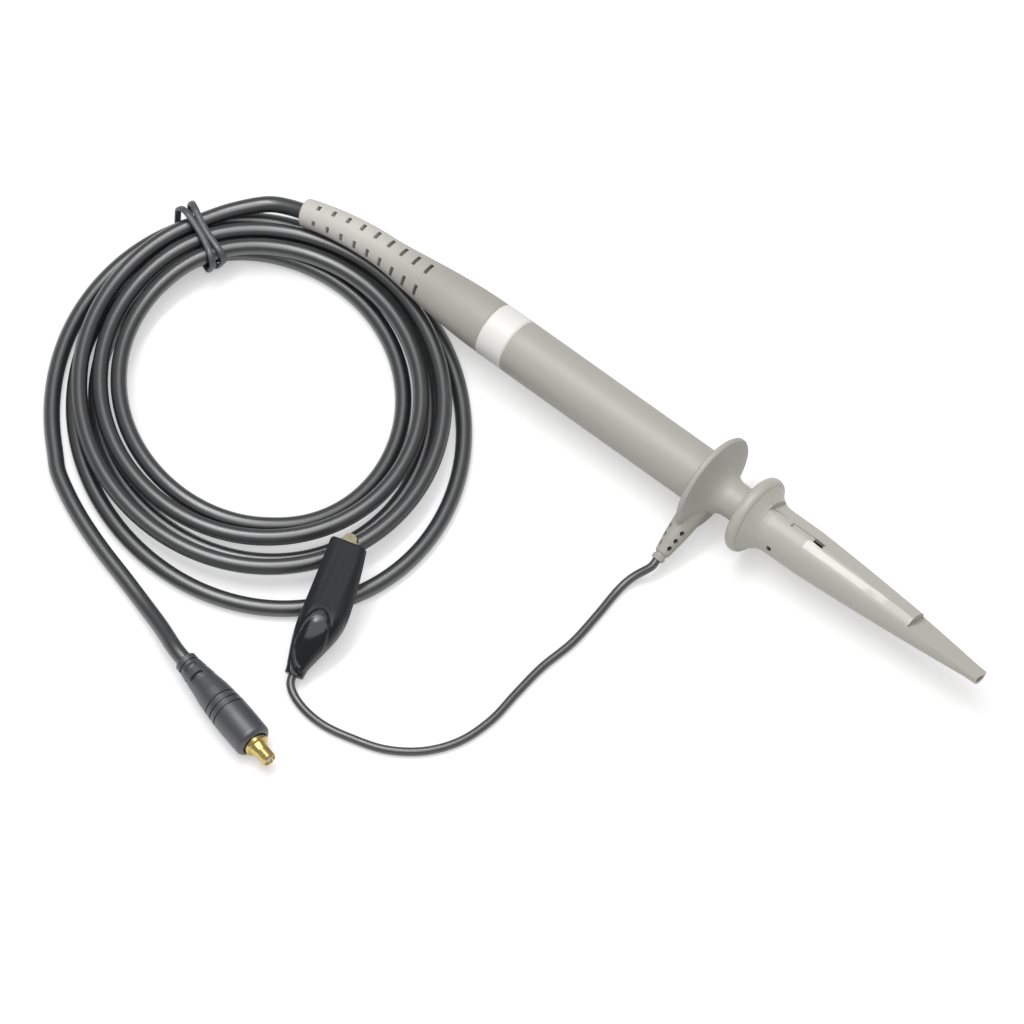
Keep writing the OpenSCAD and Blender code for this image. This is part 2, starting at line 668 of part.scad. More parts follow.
// ---- hook core, socket, wire and spring ----
core_x = guard_front + 0.6;
core_r = core_d / 2;
core_front_r = core_front_d / 2;
core_step_x = core_x + 16.5;
socket_x = nose_front + 2.2;
socket_l = 8.8;
socket_r = 2.2;
socket_front = socket_x + socket_l;
core_front = socket_front + 0.7;
hook_wire_r = hook_wire_d / 2;
hook_bend_r = (hook_gap + hook_wire_d) / 2;
hook_end = sleeve_front - 0.4;
spring_r = spring_d / 2;
spring_x = core_front + 0.35;
spring_l = 15.5;
spring_front = spring_x + spring_l;
spigot_core_r = spring_r - spring_wire_d / 2 - 0.25;
hook_drop = 1;

// Children's XY becomes the hook's plane
module in_hook_plane() {
    rotate([-chisel_turn, 0, 0]) translate([0, 0, -hook_drop]) children();
}

module hook_core() color("#3A3B3D") on_axis() difference() {
    turned([
        [core_x, nose_r + 0.06], [core_x, core_r], [core_step_x, core_r],
        [core_step_x, core_front_r], [core_front, core_front_r], [core_front, spigot_core_r],
        [core_front + 4, spigot_core_r], [core_front + 4, 0],
        [socket_front + 0.1, 0], [socket_front + 0.1, socket_r + fit_gap],
        [nose_front + 0.4, socket_r + fit_gap], [nose_front + 0.4, nose_r + 0.06]]);
    in_hook_plane() translate([0, -hook_bend_r, 0])
        rod(socket_front - 1, core_front + 5, hook_wire_r + fit_gap, 24);
}

module hook_socket() color(nickel) on_axis() {
    turned([
        [socket_x, needle_r + 0.06], [socket_x, socket_r], [socket_front, socket_r],
        [socket_front, 0], [needle_front + 0.4, 0], [needle_front + 0.4, needle_r + 0.06]], fine_fn);
}

// Long shank, round bend and short leg
module hook_wire() color(steel) on_axis() in_hook_plane() {
    bend_x = hook_end - hook_bend_r - hook_wire_r;
    translate([0, -hook_bend_r, 0]) rod(socket_front, bend_x, hook_wire_r, 24);
    translate([bend_x, 0, 0]) rotate([0, 0, -90]) rotate_extrude(angle = 180, $fn = 48)
        translate([hook_bend_r, 0]) circle(r = hook_wire_r, $fn = 24);
    translate([0, hook_bend_r, 0]) rod(bend_x - hook_leg, bend_x, hook_wire_r, 24);
}

spring_rings = 8;
// Closed end turns stand flat; the active turns between them climb steadily
spring_path = [for (i = [0 : spring_rings * spring_turns])
    let (a = 360 * i / spring_rings, s = i / (spring_rings * spring_turns))
    [spring_x + spring_wire_d / 2 + (spring_l - spring_wire_d) * s,
        spring_r * cos(a), spring_r * sin(a)]];

module hook_spring() color(steel) on_axis()
    tube(spring_path, [for (q = spring_path) spring_wire_d / 2], 6, [1, 0, 0]);

// ---- hook sleeve ----
flange_r = flange_d / 2;
sleeve_r = sleeve_d / 2;
tip_r = sleeve_tip_d / 2;
neck_bore_r = neck_r + running_gap;
core_bore_r = core_r + running_gap;
neck_bore_l = sleeve_lap + sleeve_travel + 0.8;
core_bore_end = core_step_x + sleeve_travel + running_gap;
chamber_r = max(core_front_r, spring_r + spring_wire_d / 2) + running_gap;
chamber_end = spring_front + 0.3;
channel_r = hook_wire_r + 0.25;
rim_steps = 8;
taper_x = sleeve_x + 17.2;
taper_end_x = sleeve_front - 3.4;
shoulder_x = sleeve_front - chisel_l;

// Rounded rim of the flange
function rim(i) = let (a = -90 + 180 * i / rim_steps)
    [sleeve_x + flange_t / 2 + flange_t / 2 * sin(a), flange_r - 1.1 + 1.1 * cos(a)];
// Hollow cone in front of the rim
function flange_cone(s) =
    [sleeve_x + flange_t + flange_cone_l * s, sleeve_r + (flange_r - 1.1 - sleeve_r) * pow(1 - s, 2)];
// The sleeve's taper, full in its middle
function taper(s) = [taper_x + (taper_end_x - taper_x) * s,
    sleeve_r + (tip_r - sleeve_r) * (s - 0.3 * s * (1 - s))];

module hook_sleeve() color("#B7B6AB") on_axis() difference() {
    turned(concat(
        [[sleeve_x, 0]],
        [for (i = [0 : rim_steps]) rim(i)],
        [for (i = [1 : 5]) flange_cone(i / 5)],
        [for (i = [0 : 8]) taper(i / 8)],
        [[sleeve_front, tip_r - 0.1], [sleeve_front, 0]]), 96);
    rod(sleeve_x - 1, sleeve_x + neck_bore_l, neck_bore_r, round_fn);
    rod(sleeve_x, core_bore_end, core_bore_r, round_fn);
    rod(sleeve_x, chamber_end, chamber_r, round_fn);
    hook_channel();
    sleeve_flats();
    sleeve_windows();
}

// Flat slot down the tip, wide enough for the hook
module hook_channel() in_hook_plane() {
    from_x = chamber_end - 1;
    for (side = [-1, 1]) translate([0, side * hook_bend_r, 0])
        rod(from_x, sleeve_front + 1, channel_r, 24);
    translate([from_x, -hook_bend_r, -channel_r])
        cube([sleeve_front + 1 - from_x, 2 * hook_bend_r, 2 * channel_r]);
}

// A level facet from the flange's cone with a recess at its start, a sloped facet along the
// taper, and the chisel cut at the tip
module sleeve_flats() {
    facet_x = sleeve_x + 5.6;
    slope_x = sleeve_x + 19;
    slope_end_h = 3;
    facet_slope = atan((facet_h - slope_end_h) / (shoulder_x - slope_x));
    rotate([-facet_turn, 0, 0]) {
        translate([facet_x, -15, facet_h]) cube([slope_x - facet_x + 4, 30, 15]);
        translate([facet_x, 0, facet_h - 0.6]) linear_extrude(8)
            polygon([[-0.8, -2.6], [0.4, -1.4], [4.8, -1.3]]);
        translate([slope_x, 0, facet_h]) rotate([0, facet_slope, 0])
            translate([0, -15, 0]) cube([shoulder_x - slope_x, 30, 15]);
    }
    chisel_h = 1.5;
    chisel_tip_h = -0.1;
    chisel_slope = atan((chisel_h - chisel_tip_h) / chisel_l);
    rotate([-chisel_turn, 0, 0]) translate([shoulder_x, 0, chisel_h])
        rotate([0, chisel_slope, 0]) translate([0, -15, 0]) cube([chisel_l + 5, 30, 15]);
}

// Latch window beside the facet, and a notch through the wall on the lower side
module sleeve_windows() {
    window_x = sleeve_x + 11.7;
    window_l = 9.3;
    window_w = 1.6;
    hole_l = 3;
    rotate([-10, 0, 0]) {
        translate([window_x, -window_w / 2, sleeve_r - 0.9]) cube([window_l, window_w, 3]);
        translate([window_x + window_l - hole_l, -window_w / 2, core_r]) cube([hole_l, window_w, 4]);
    }
    rotate([25, 0, 0]) translate([sleeve_x + 9.5, -core_bore_r - 0.75, -8]) cube([1.2, 0.75, 16]);
}

// ---- cable coil ----
// The route winds inward on the upper layer and out again on the lower one, and climbs
// down in the half turn where it reverses. Loops lie close at the tie. Opposite it each
// loop is drawn in by its belly, which is largest for the loops in the middle of the route.
coil_centre = [-72.2, -48.4];
coil_turn = 54;
coil_start = 0.05;
coil_zero = 76;
coil_reverse = 2.5;
descent_from = 2.3;
descent_loops = 0.45;
belly_at = 272;
belly_loop = 1.9;
belly_fall = 2;
lean_at = 150;
tie_at = 92;
tie_lift = tie_t + 0.6;
coil_rings = 24;
coil_low = cable_r + 0.05;

function coil_angle(t) = coil_zero + 360 * t;
function upper(t) = 1 - smooth((t - descent_from) / descent_loops);
function belly(t) = max(0, coil_belly - belly_fall * pow(t - belly_loop, 2));
function inset(t) = let (a = coil_angle(t))
    coil_step * (coil_reverse - abs(t - coil_reverse))
    + belly(t) * pow((1 + cos(a - belly_at)) / 2, 2) + coil_lean * cos(a - lean_at) * upper(t);
function lift(a) = tie_lift * exp(-pow(wrap180(a - tie_at) / 25, 2));
function coil_point(t) = let (a = coil_angle(t), u = (coil_a - inset(t)) * cos(a),
        v = (coil_b - inset(t)) * sin(a))
    [coil_centre[0] + u * cos(coil_turn) - v * sin(coil_turn),
        coil_centre[1] + u * sin(coil_turn) + v * cos(coil_turn),
        coil_low + coil_layer * upper(t) + lift(a)];

coil_steps = round((coil_loops - coil_start) * coil_rings);
coil_body = [for (i = [0 : coil_steps])
    coil_point(coil_start + (coil_loops - coil_start) * i / coil_steps)];
// Way of the coil at its two ends
function coil_way(t) = unit(coil_point(t + 0.002) - coil_point(t - 0.002));
coil_way_in = coil_way(coil_start);
coil_way_out = coil_way(coil_loops);
coil_from = coil_body[0] - cable_d * coil_way_in;
coil_to = coil_body[coil_steps] + cable_d * coil_way_out;
coil_route = concat([coil_from], coil_body, [coil_to]);

// Least gap between loops: distance of points half a loop or more apart, less the diameter
coil_gap = min([for (i = [0 : coil_steps]) for (j = [i + coil_rings / 2 : 1 : coil_steps])
    norm(coil_body[i] - coil_body[j])]) - cable_d;
echo(coil_gap = coil_gap);
function route_length(p) = len(p) < 2 ? 0
    : [for (i = [0 : len(p) - 2]) norm(p[i + 1] - p[i])] * [for (i = [0 : len(p) - 2]) 1];
echo(coil_length = route_length(coil_route));

module cable_coil() color(cable_black) cord(coil_route, cable_r, 6);

// ---- free stretches of the cable ----
boot_exit = probe_point(boot_centre(boot_tail_x));
boot_exit_way = -boot_heading(boot_tail_x);
lead_in_points = [[-106.7, -5, 8.3], [-110.4, -9.2, 8.1]];
lead_in_route = concat([boot_exit], refine(concat([boot_exit + cable_d * boot_exit_way],
    lead_in_points, [coil_from - cable_d * coil_way_in])), [coil_from]);

module cable_lead_in() color(cable_black) cord(lead_in_route, cable_r);

plug_back = [-44.4, -108.9, 4.55];
plug_yaw = -14;
plug_way = [cos(plug_yaw), sin(plug_yaw), 0];
lead_out_points = [[-92.6, -92, 2], [-85.6, -95, 2], [-78, -97.6, 2], [-70, -99.9, 2],
    [-62, -102.4, 2.2], [-54.3, -105.2, 3.3]];
lead_out_route = concat([coil_to], refine(concat([coil_to + cable_d * coil_way_out],
    lead_out_points, [plug_back - cable_d * plug_way])), [plug_back]);

module cable_lead_out() color(cable_black) cord(lead_out_route, cable_r);

// The cable inside the boot, and inside the plug's overmould
ferrule_x = 9;
module cable_ends() color(cable_black) {
    inner_xs = concat([for (i = [2 : 2 : boot_rings - 2]) boot_xs[i]], [boot_l, cable_end_x]);
    tail = boot_centre(boot_tail_x);
    on_axis() cord(concat([tail, tail + cable_r * boot_heading(boot_tail_x)],
        [for (x = inner_xs) boot_centre(x)]), cable_r);
    on_plug() cord([[0, 0, 0], [ferrule_x, 0, 0]], cable_r);
}

echo(cable_length = route_length(lead_in_route) + route_length(coil_route)
    + route_length(lead_out_route));
echo(ground_lead_length = route_length(lead_route));

// ---- tie ----
// Two straps side by side round the bundle, close on its inner side and with a loose bight
// on its outer side. Their form is drawn along the tie and in height: it goes round the
// outer and the inner loop of each layer, as [place along the tie, height, inner radius].
tie_clear = 0.3;
tie_place = 94.5;
tie_turn = -22;
tie_bight = 1;
tie_strap_gap = 0.3;
tie_loop = (tie_place - coil_zero) / 360;
tie_corner = [coil_centre[0], coil_centre[1]] + turned([coil_a * cos(tie_place), coil_b * sin(tie_place)],
    coil_turn);
// A point of the coil as the tie sees it: [along the tie, across it]
function tie_view(t) = let (p = coil_point(t) - [tie_corner[0], tie_corner[1], 0])
    turned([p[0], p[1]], -tie_turn);
// Where the coil crosses the tie's middle near t, by three straight steps: [place along the
// tie, how far it moves along the tie for each mm across it]
function tie_cross(t, steps = 3) = let (p = tie_view(t), step = (tie_view(t + 0.001) - p) / 0.001)
    steps == 0 ? [p[0], abs(step[0] / step[1])] : tie_cross(t - p[1] / step[1], steps - 1);
// Furthest place of that loop inwards (side 1) or outwards (side -1) over the tie's width.
// The coil's tube turns at its rings, so it may leave its curve inwards by half such a turn.
function tie_end(t, side) = let (c = tie_cross(t))
    c[0] + side * (tie_w + tie_strap_gap / 2) * (c[1] + max(side, 0) * tan(180 / coil_rings));
tie_low_z = coil_low + lift(tie_place);
tie_r = cable_r + tie_clear;
tie_corners = [
    [tie_end(tie_loop, -1) - tie_bight, tie_low_z + coil_layer, tie_r + tie_bight],
    [tie_end(tie_loop + 2, 1), tie_low_z + coil_layer, tie_r],
    [tie_end(tie_loop + 3, 1), tie_low_z, tie_r],
    [tie_end(tie_loop + 5, -1), tie_low_z, tie_r]];

module tie_form(grow) {
    hull() for (c = tie_corners) translate([c[0], c[1]]) circle(r = c[2] + grow, $fn = 32);
}

module tie_strap() {
    translate([0, tie_w / 2, 0]) rotate([90, 0, 0]) linear_extrude(tie_w) difference() {
        tie_form(tie_t);
        tie_form(0);
    }
}

module cable_tie() color(cable_black)
    translate([tie_corner[0], tie_corner[1], 0]) rotate([0, 0, tie_turn]) for (side = [-1, 1])
        translate([0, side * (tie_w + tie_strap_gap) / 2, 0]) tie_strap();

// ---- plug, built along +X from the cable's end ----
module on_plug() {
    translate(plug_back) rotate([0, 0, plug_yaw]) children();
}

mould_r = mould_d / 2;
mould_neck_r = mould_neck_d / 2;
mould_bore_r = cable_r + fit_gap + 0.05;
ferrule_l = 7;
plug_ferrule_out = 2.5;
shoulder_r = shoulder_d / 2;
contact_r = contact_d / 2;
contact_wall = 0.35;
shell_back = ferrule_x + ferrule_l - 3;
shoulder_front = mould_l + shoulder_l;
contact_back = shoulder_front + contact_root_l;
contact_front = contact_back + contact_l;
face_x = mould_l - 0.8;
face_r = mould_r - 1.3;
groove_x = 13.6;
groove_pitch = 1.7;

module plug_cover() color(cable_black) on_plug() difference() {
    turned([
        [0, mould_bore_r], [0, mould_neck_r - 0.3], [0.3, mould_neck_r], [1.5, mould_neck_r],
        [1.5, mould_neck_r - 0.35], [2.2, mould_neck_r - 0.35], [2.2, mould_neck_r + 0.1],
        [6.8, mould_neck_r + 0.7], [7.4, mould_r - 1.1], [11, mould_r - 0.5], [16, mould_r - 0.1],
        [20, mould_r], [mould_l - 1.1, mould_r - 0.05], [mould_l - 0.35, mould_r - 0.45],
        [mould_l, mould_r - 0.9], [mould_l, face_r], [face_x, face_r], [face_x, shoulder_r - 0.2],
        [shell_back - 0.2, shoulder_r - 0.2],
        [shell_back - 0.2, plug_ferrule_out + fit_gap], [ferrule_x - 0.1, plug_ferrule_out + fit_gap],
        [ferrule_x - 0.1, mould_bore_r]]);
    for (i = [0 : 2]) pipe(groove_x + i * groove_pitch, groove_x + i * groove_pitch + 0.35,
        mould_r + 1, mould_r - 0.62 + 0.08 * i);
    for (i = [0 : 2], k = [0, 1]) rotate([180 * k + 90 * (i % 2) + 25, 0, 0])
        translate([2.9 + 1.4 * i, -1.7, mould_bore_r + 0.45]) cube([0.7, 3.4, 3]);
}

module plug_ferrule() color(nickel) on_plug()
    pipe(ferrule_x, ferrule_x + ferrule_l - 3.2, plug_ferrule_out, cable_r + fit_gap);

// Contact barrel with four spring fingers, in front of a round shoulder
module plug_shell() color(gold) on_plug() difference() {
    turned([
        [shell_back, contact_r - contact_wall], [shell_back, shoulder_r - 0.3],
        [face_x, shoulder_r - 0.3], [face_x, shoulder_r], [shoulder_front - 0.2, shoulder_r],
        [shoulder_front, shoulder_r - 0.2], [shoulder_front, contact_root_d / 2],
        [contact_back, contact_r], [contact_front - 0.4, contact_r],
        [contact_front - 0.15, contact_r - 0.2],
        [contact_front, contact_r - contact_wall]], fine_fn);
    for (k = [0 : 1]) rotate([90 * k + 45, 0, 0])
        translate([contact_front - 2.6, -0.15, -contact_r - 1]) cube([4, 0.3, 2 * contact_r + 2]);
}

module plug_insulator() color("#EDE3D8") on_plug()
    pipe(shell_back + 0.2, contact_front - 0.5, contact_r - contact_wall - fit_gap, 0.3, fine_fn);

module plug_pin() color(gold) on_plug() turned([
    [ferrule_x + 0.02, 0], [ferrule_x + 0.02, 0.26], [contact_front - 0.6, 0.26],
    [contact_front - 0.2, 0.1], [contact_front - 0.2, 0]], 24);

rear_boot();
colour_ring();
barrel();
shield_tube();
cable_ferrule();
circuit_board();
input_resistor();
signal_wire();
trimmer_body();
trimmer_rotor();
ground_sleeve();
nose_insulator();
tip_needle();
finger_guard();
contact_ring();
lead_terminal();
lead_boot();
ground_lead();
clip_cover();
clip_lower_jaw();
clip_upper_jaw();
clip_rivet();
clip_spring();
hook_core();
hook_socket();
hook_wire();
hook_spring();
hook_sleeve();
cable_ends();
cable_lead_in();
cable_coil();
cable_lead_out();
cable_tie();
plug_cover();
plug_ferrule();
plug_shell();
plug_insulator();
plug_pin();
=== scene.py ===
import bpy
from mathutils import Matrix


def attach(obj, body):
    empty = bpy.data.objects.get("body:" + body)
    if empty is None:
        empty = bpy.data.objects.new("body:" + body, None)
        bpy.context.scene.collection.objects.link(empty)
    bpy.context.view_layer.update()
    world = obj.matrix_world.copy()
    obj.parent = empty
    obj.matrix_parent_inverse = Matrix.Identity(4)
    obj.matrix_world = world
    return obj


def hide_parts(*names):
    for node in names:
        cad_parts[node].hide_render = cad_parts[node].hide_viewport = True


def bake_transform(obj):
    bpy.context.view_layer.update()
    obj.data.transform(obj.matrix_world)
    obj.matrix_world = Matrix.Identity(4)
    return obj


bl_info = {
    "name": "Oscilloscope probe looks",
    "version": (1, 0, 0),
    "blender": (4, 5, 0),
    "location": "3D View > Sidebar > Probe",
    "description": "Dresses a packed oscilloscope probe with its cable, boots, cover and finishes",
    "category": "Object",
}

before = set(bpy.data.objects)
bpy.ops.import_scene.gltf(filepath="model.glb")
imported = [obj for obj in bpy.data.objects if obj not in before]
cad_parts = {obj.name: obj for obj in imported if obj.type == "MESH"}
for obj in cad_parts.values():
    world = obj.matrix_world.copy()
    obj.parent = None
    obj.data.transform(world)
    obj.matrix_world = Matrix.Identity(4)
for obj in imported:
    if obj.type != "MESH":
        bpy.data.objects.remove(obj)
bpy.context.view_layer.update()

import math

import bpy
import numpy as np
from bpy.props import FloatProperty, FloatVectorProperty, IntProperty, PointerProperty
from mathutils import Vector

# Sizes below are in mm, in the frame of the CAD model: X along the probe towards its tip, Z up
MM = 0.001
AXIS_Z = 12.4
HALF_L = 99.4
Z_UP = np.array([0.0, 0.0, 1.0])


# ---- numbers and curves ----
def unit(v):
    """Each vector divided by its length."""
    v = np.asarray(v, float)
    return v / np.linalg.norm(v, axis=-1, keepdims=True)


def smooth(x):
    """3x^2 - 2x^3 between 0 and 1, flat outside."""
    x = np.clip(x, 0.0, 1.0)
    return x * x * (3 - 2 * x)


def through(points, steps=12):
    """Catmull-Rom curve through points: each span is the cubic of its four nearest points."""
    p = np.asarray(points, float)
    q = np.vstack([p[:1], p, p[-1:]])
    t = (np.arange(steps) / steps)[None, :, None]
    a, b, c, d = (q[k:len(q) - 3 + k, None, :] for k in range(4))
    spans = 0.5 * (2 * b + (c - a) * t + (2 * a - 5 * b + 4 * c - d) * t ** 2
                   + (3 * b - a - 3 * c + d) * t ** 3)
    return np.vstack([spans.reshape(-1, p.shape[1]), p[-1:]])


def evenly(path, step, soften=0.0):
    """The same route at equal steps, then averaged over soften mm to ease its joints."""
    path = np.asarray(path, float)
    run = np.concatenate([[0], np.cumsum(np.linalg.norm(np.diff(path, axis=0), axis=1))])
    at = np.linspace(0, run[-1], int(round(run[-1] / step)) + 1)
    even = np.stack([np.interp(at, run, path[:, k]) for k in range(3)], axis=1)
    half = int(round(soften / step))
    if half:
        w = np.hanning(2 * half + 3)[1:-1]
        w /= w.sum()
        ends = np.arange(1, half + 1)[:, None]
        padded = np.vstack([2 * even[0] - even[ends[::-1, 0]], even,
                            2 * even[-1] - even[-1 - ends[:, 0]]])
        even = np.stack([np.convolve(padded[:, k], w, "valid") for k in range(3)], axis=1)
    return even


def route_length(path):
    """Sum of the distances between neighbouring points."""
    return float(np.linalg.norm(np.diff(path, axis=0), axis=1).sum())


def frames(path, up=Z_UP):
    """Heading, side and top at each point: side = up x heading, top = heading x side."""
    way = unit(np.gradient(path, axis=0))
    side = unit(np.cross(up, way))
    return way, side, np.cross(way, side)


# ---- meshes ----
def surface(name, grid, ring=False, uv_mm=None, sharp=35.0):
    """A skin over grid[i, j]: rows i run along the piece, columns j close round it.

    With ring the last row joins the first, and otherwise both end rows are capped. The UV map
    holds the length along the piece and round it, in mm, from uv_mm = (lengths, girth).
    """
    grid = np.asarray(grid, float) * MM
    n, m = grid.shape[:2]
    i = np.arange(n if ring else n - 1)[:, None]
    j = np.arange(m)[None, :]
    i1, j1 = (i + 1) % n, (j + 1) % m
    quads = np.stack(np.broadcast_arrays(i * m + j, i1 * m + j, i1 * m + j1, i * m + j1), axis=-1)
    quads = quads.reshape(-1, 4)
    verts = grid.reshape(-1, 3)
    a, b, c, d = (verts[quads[:, k]] for k in range(4))
    volume = np.einsum("ij,ij->", a, np.cross(b, c)) + np.einsum("ij,ij->", a, np.cross(c, d))
    faces = quads.tolist()
    caps = [] if ring else [list(range(m))[::-1], list(range((n - 1) * m, n * m))]
    if volume < 0:
        faces = quads[:, ::-1].tolist()
        caps = [cap[::-1] for cap in caps]
    mesh = bpy.data.meshes.new(name)
    mesh.from_pydata(verts.tolist(), [], faces + caps)
    if uv_mm is not None:
        lengths, girth = uv_mm
        u = np.stack(np.broadcast_arrays(i, i + 1, i + 1, i), axis=-1) + 0 * j[..., None]
        v = np.stack(np.broadcast_arrays(j, j, j + 1, j + 1), axis=-1) + 0 * i[..., None]
        pairs = np.stack([np.asarray(lengths)[u.reshape(-1, 4)], girth * v.reshape(-1, 4) / m],
                         axis=-1)
        if volume < 0:
            pairs = pairs[:, ::-1]
        flat = np.zeros((len(mesh.loops), 2))
        flat[:pairs.size // 2] = pairs.reshape(-1, 2)
        mesh.uv_layers.new(name="along").data.foreach_set("uv", flat.ravel().astype(np.float32))
    mesh.polygons.foreach_set("use_smooth", np.ones(len(mesh.polygons), bool))
    mesh.update()
    mesh.set_sharp_from_angle(angle=math.radians(sharp))
    piece = bpy.data.objects.new(name, mesh)
    bpy.context.scene.collection.objects.link(piece)
    return piece


def tube_grid(path, radii, sides):
    """Rings of radius r at angle q round a route: centre + r (cos q side + sin q top)."""
    _, side, top = frames(path)
    q = 2 * np.pi * np.arange(sides) / sides
    r = np.broadcast_to(np.asarray(radii, float), len(path))[:, None, None]
    return path[:, None] + r * (np.cos(q)[None, :, None] * side[:, None]
                                + np.sin(q)[None, :, None] * top[:, None])


def turned_grid(profile, sides, origin=(-HALF_L, 0, AXIS_Z), yaw=0.0):
    """A profile of (station, radius) turned about its X axis, yawed and moved to origin."""
    profile = np.asarray(profile, float)
    q = 2 * np.pi * np.arange(sides) / sides
    x = np.broadcast_to(profile[:, :1], (len(profile), sides))
    y, z = profile[:, 1:] * np.cos(q), profile[:, 1:] * np.sin(q)
    c, s = math.cos(yaw), math.sin(yaw)
    return np.stack([x * c - y * s, x * s + y * c, z], axis=-1) + np.asarray(origin, float)


def spread_profile(corners, step):
    """Points no further than step apart along a profile, with every corner kept."""
    corners = np.asarray(corners, float)
    out = [corners[:1]]
    for a, b in zip(corners[:-1], corners[1:]):
        n = max(1, int(math.ceil(np.linalg.norm(b - a) / step)))
        out.append(a + (b - a) * (np.arange(1, n + 1) / n)[:, None])
    return np.vstack(out)


# ---- materials ----
def linear(hex_colour):
    """An sRGB hex colour as linear red, green, blue and 1."""
    c = np.array([int(hex_colour[k:k + 2], 16) / 255 for k in (1, 3, 5)])
    c = np.where(c <= 0.04045, c / 12.92, ((c + 0.055) / 1.055) ** 2.4)
    return (*c.tolist(), 1.0)


def rgba(colour):
    """A colour property as red, green, blue and 1."""
    return (*colour, 1.0)


def shade(colour, factor):
    """A linear colour made darker or lighter by a factor."""
    return (*(min(1.0, c * factor) for c in colour[:3]), 1.0)


def add(tree, kind, inputs=None, **settings):
    """Adds a node, sets its properties, and fills its sockets with values or links."""
    node = tree.nodes.new(kind)
    for key, value in settings.items():
        setattr(node, key, value)
    for key, value in (inputs or {}).items():
        if isinstance(value, bpy.types.NodeSocket):
            tree.links.new(value, node.inputs[key])
        else:
            node.inputs[key].default_value = value
    return node


def blank(name, colour, roughness, ior=1.5, metallic=0.0, **more):
    """A material with one Principled shader; more holds its other sockets by name."""
    mat = bpy.data.materials.new(name)
    mat.use_nodes = True
    tree = mat.node_tree
    tree.nodes.clear()
    sockets = {"Base Color": colour, "Roughness": roughness, "Metallic": metallic}
    if not metallic:
        sockets["IOR"] = ior
    sockets.update({key.replace("_", " "): value for key, value in more.items()})
    shader = add(tree, "ShaderNodeBsdfPrincipled", sockets)
    add(tree, "ShaderNodeOutputMaterial", {"Surface": shader.outputs[0]})
    return mat, tree, shader


def where(tree, uv=False, scale=(1, 1, 1)):
    """Object coordinates or the piece's UV, scaled so that one unit is one mm times scale."""
    coords = add(tree, "ShaderNodeTexCoord")
    per_mm = tuple(s * (1 if uv else 1000) for s in scale)
    return add(tree, "ShaderNodeMapping", {"Vector": coords.outputs["UV" if uv else "Object"],
                                           "Scale": per_mm}).outputs[0]


def grain(tree, shader, vector, size, depth, detail=3.0):
    """Bumps the surface with noise whose grains are size mm wide and depth mm deep."""
    noise = add(tree, "ShaderNodeTexNoise", {"Vector": vector, "Scale": 1 / size, "Detail": detail})
    bump = add(tree, "ShaderNodeBump", {"Height": noise.outputs["Fac"], "Distance": depth * MM,
                                        "Strength": 1.0})
    tree.links.new(bump.outputs[0], shader.inputs["Normal"])


def set_rgba(mix, low, high):
    """Fills the colour sockets of a Mix node, which share their names with its number sockets."""
    mix.inputs[6].default_value = low
    mix.inputs[7].default_value = high


def mottle(tree, shader, vector, size, colour, amount):
    """Lets the colour drift by amount over patches size mm wide."""
    noise = add(tree, "ShaderNodeTexNoise", {"Vector": vector, "Scale": 1 / size, "Detail": 4.0})
    mix = add(tree, "ShaderNodeMix", {0: noise.outputs["Fac"]}, data_type="RGBA")
    set_rgba(mix, shade(colour, 1 - amount), shade(colour, 1 + amount))
    tree.links.new(mix.outputs[2], shader.inputs["Base Color"])


def moulded_abs(name, colour, roughness, grain_depth):
    # Injection-moulded ABS: satin, with the fine spark-eroded grain of its mould, 0.1 mm in life
    # and drawn at 0.25 mm so that it shows
    mat, tree, shader = blank(name, colour, roughness, 1.53)
    spot = where(tree)
    mottle(tree, shader, spot, 9.0, colour, 0.025)
    grain(tree, shader, spot, 0.25, grain_depth)
    return mat


def polished_abs(name, colour):
    # ABS from a polished mould: a clear gloss with faint flow lines along the piece, 1 mm apart
    mat, tree, shader = blank(name, colour, 0.36, 1.5, Coat_Weight=0.35, Coat_Roughness=0.06)
    spot = where(tree, scale=(0.06, 1, 1))
    mottle(tree, shader, spot, 1.0, colour, 0.02)
    grain(tree, shader, spot, 1.0, 0.006)
    return mat


def soft_pvc(name, colour, painted_glow):
    # Flexible moulded PVC: matt, with a fine skin; its colour runs paler towards the thin tail, a
    # painted glow that stands for light let through the thin wall
    mat, tree, shader = blank(name, colour, 0.5, 1.52)
    spot = where(tree)
    # Paler towards the tail, with noise: painted glow of light through the thin wall
    along = add(tree, "ShaderNodeSeparateXYZ", {"Vector": spot})
    rise = add(tree, "ShaderNodeMapRange", {"Value": along.outputs["X"], "From Min": -62.0,
                                            "From Max": -84.0})
    noise = add(tree, "ShaderNodeTexNoise", {"Vector": spot, "Scale": 1 / 6.0, "Detail": 4.0})
    blend = add(tree, "ShaderNodeMath", {0: noise.outputs["Fac"], 1: 0.12, 2: rise.outputs[0]},
                operation="MULTIPLY_ADD")
    mix = add(tree, "ShaderNodeMix", {0: blend.outputs[0]}, data_type="RGBA")
    set_rgba(mix, colour, painted_glow)
    tree.links.new(mix.outputs[2], shader.inputs["Base Color"])
    grain(tree, shader, spot, 0.3, 0.012)
    return mat


def white_acetal(name, colour):
    # Moulded acetal: opaque white with a waxy sheen
    mat, tree, shader = blank(name, colour, 0.35, 1.48, Subsurface_Weight=0.15,
                              Subsurface_Radius=(0.001, 0.001, 0.001))
    spot = where(tree)
    mottle(tree, shader, spot, 3.0, colour, 0.015)
    grain(tree, shader, spot, 0.4, 0.004)
    return mat


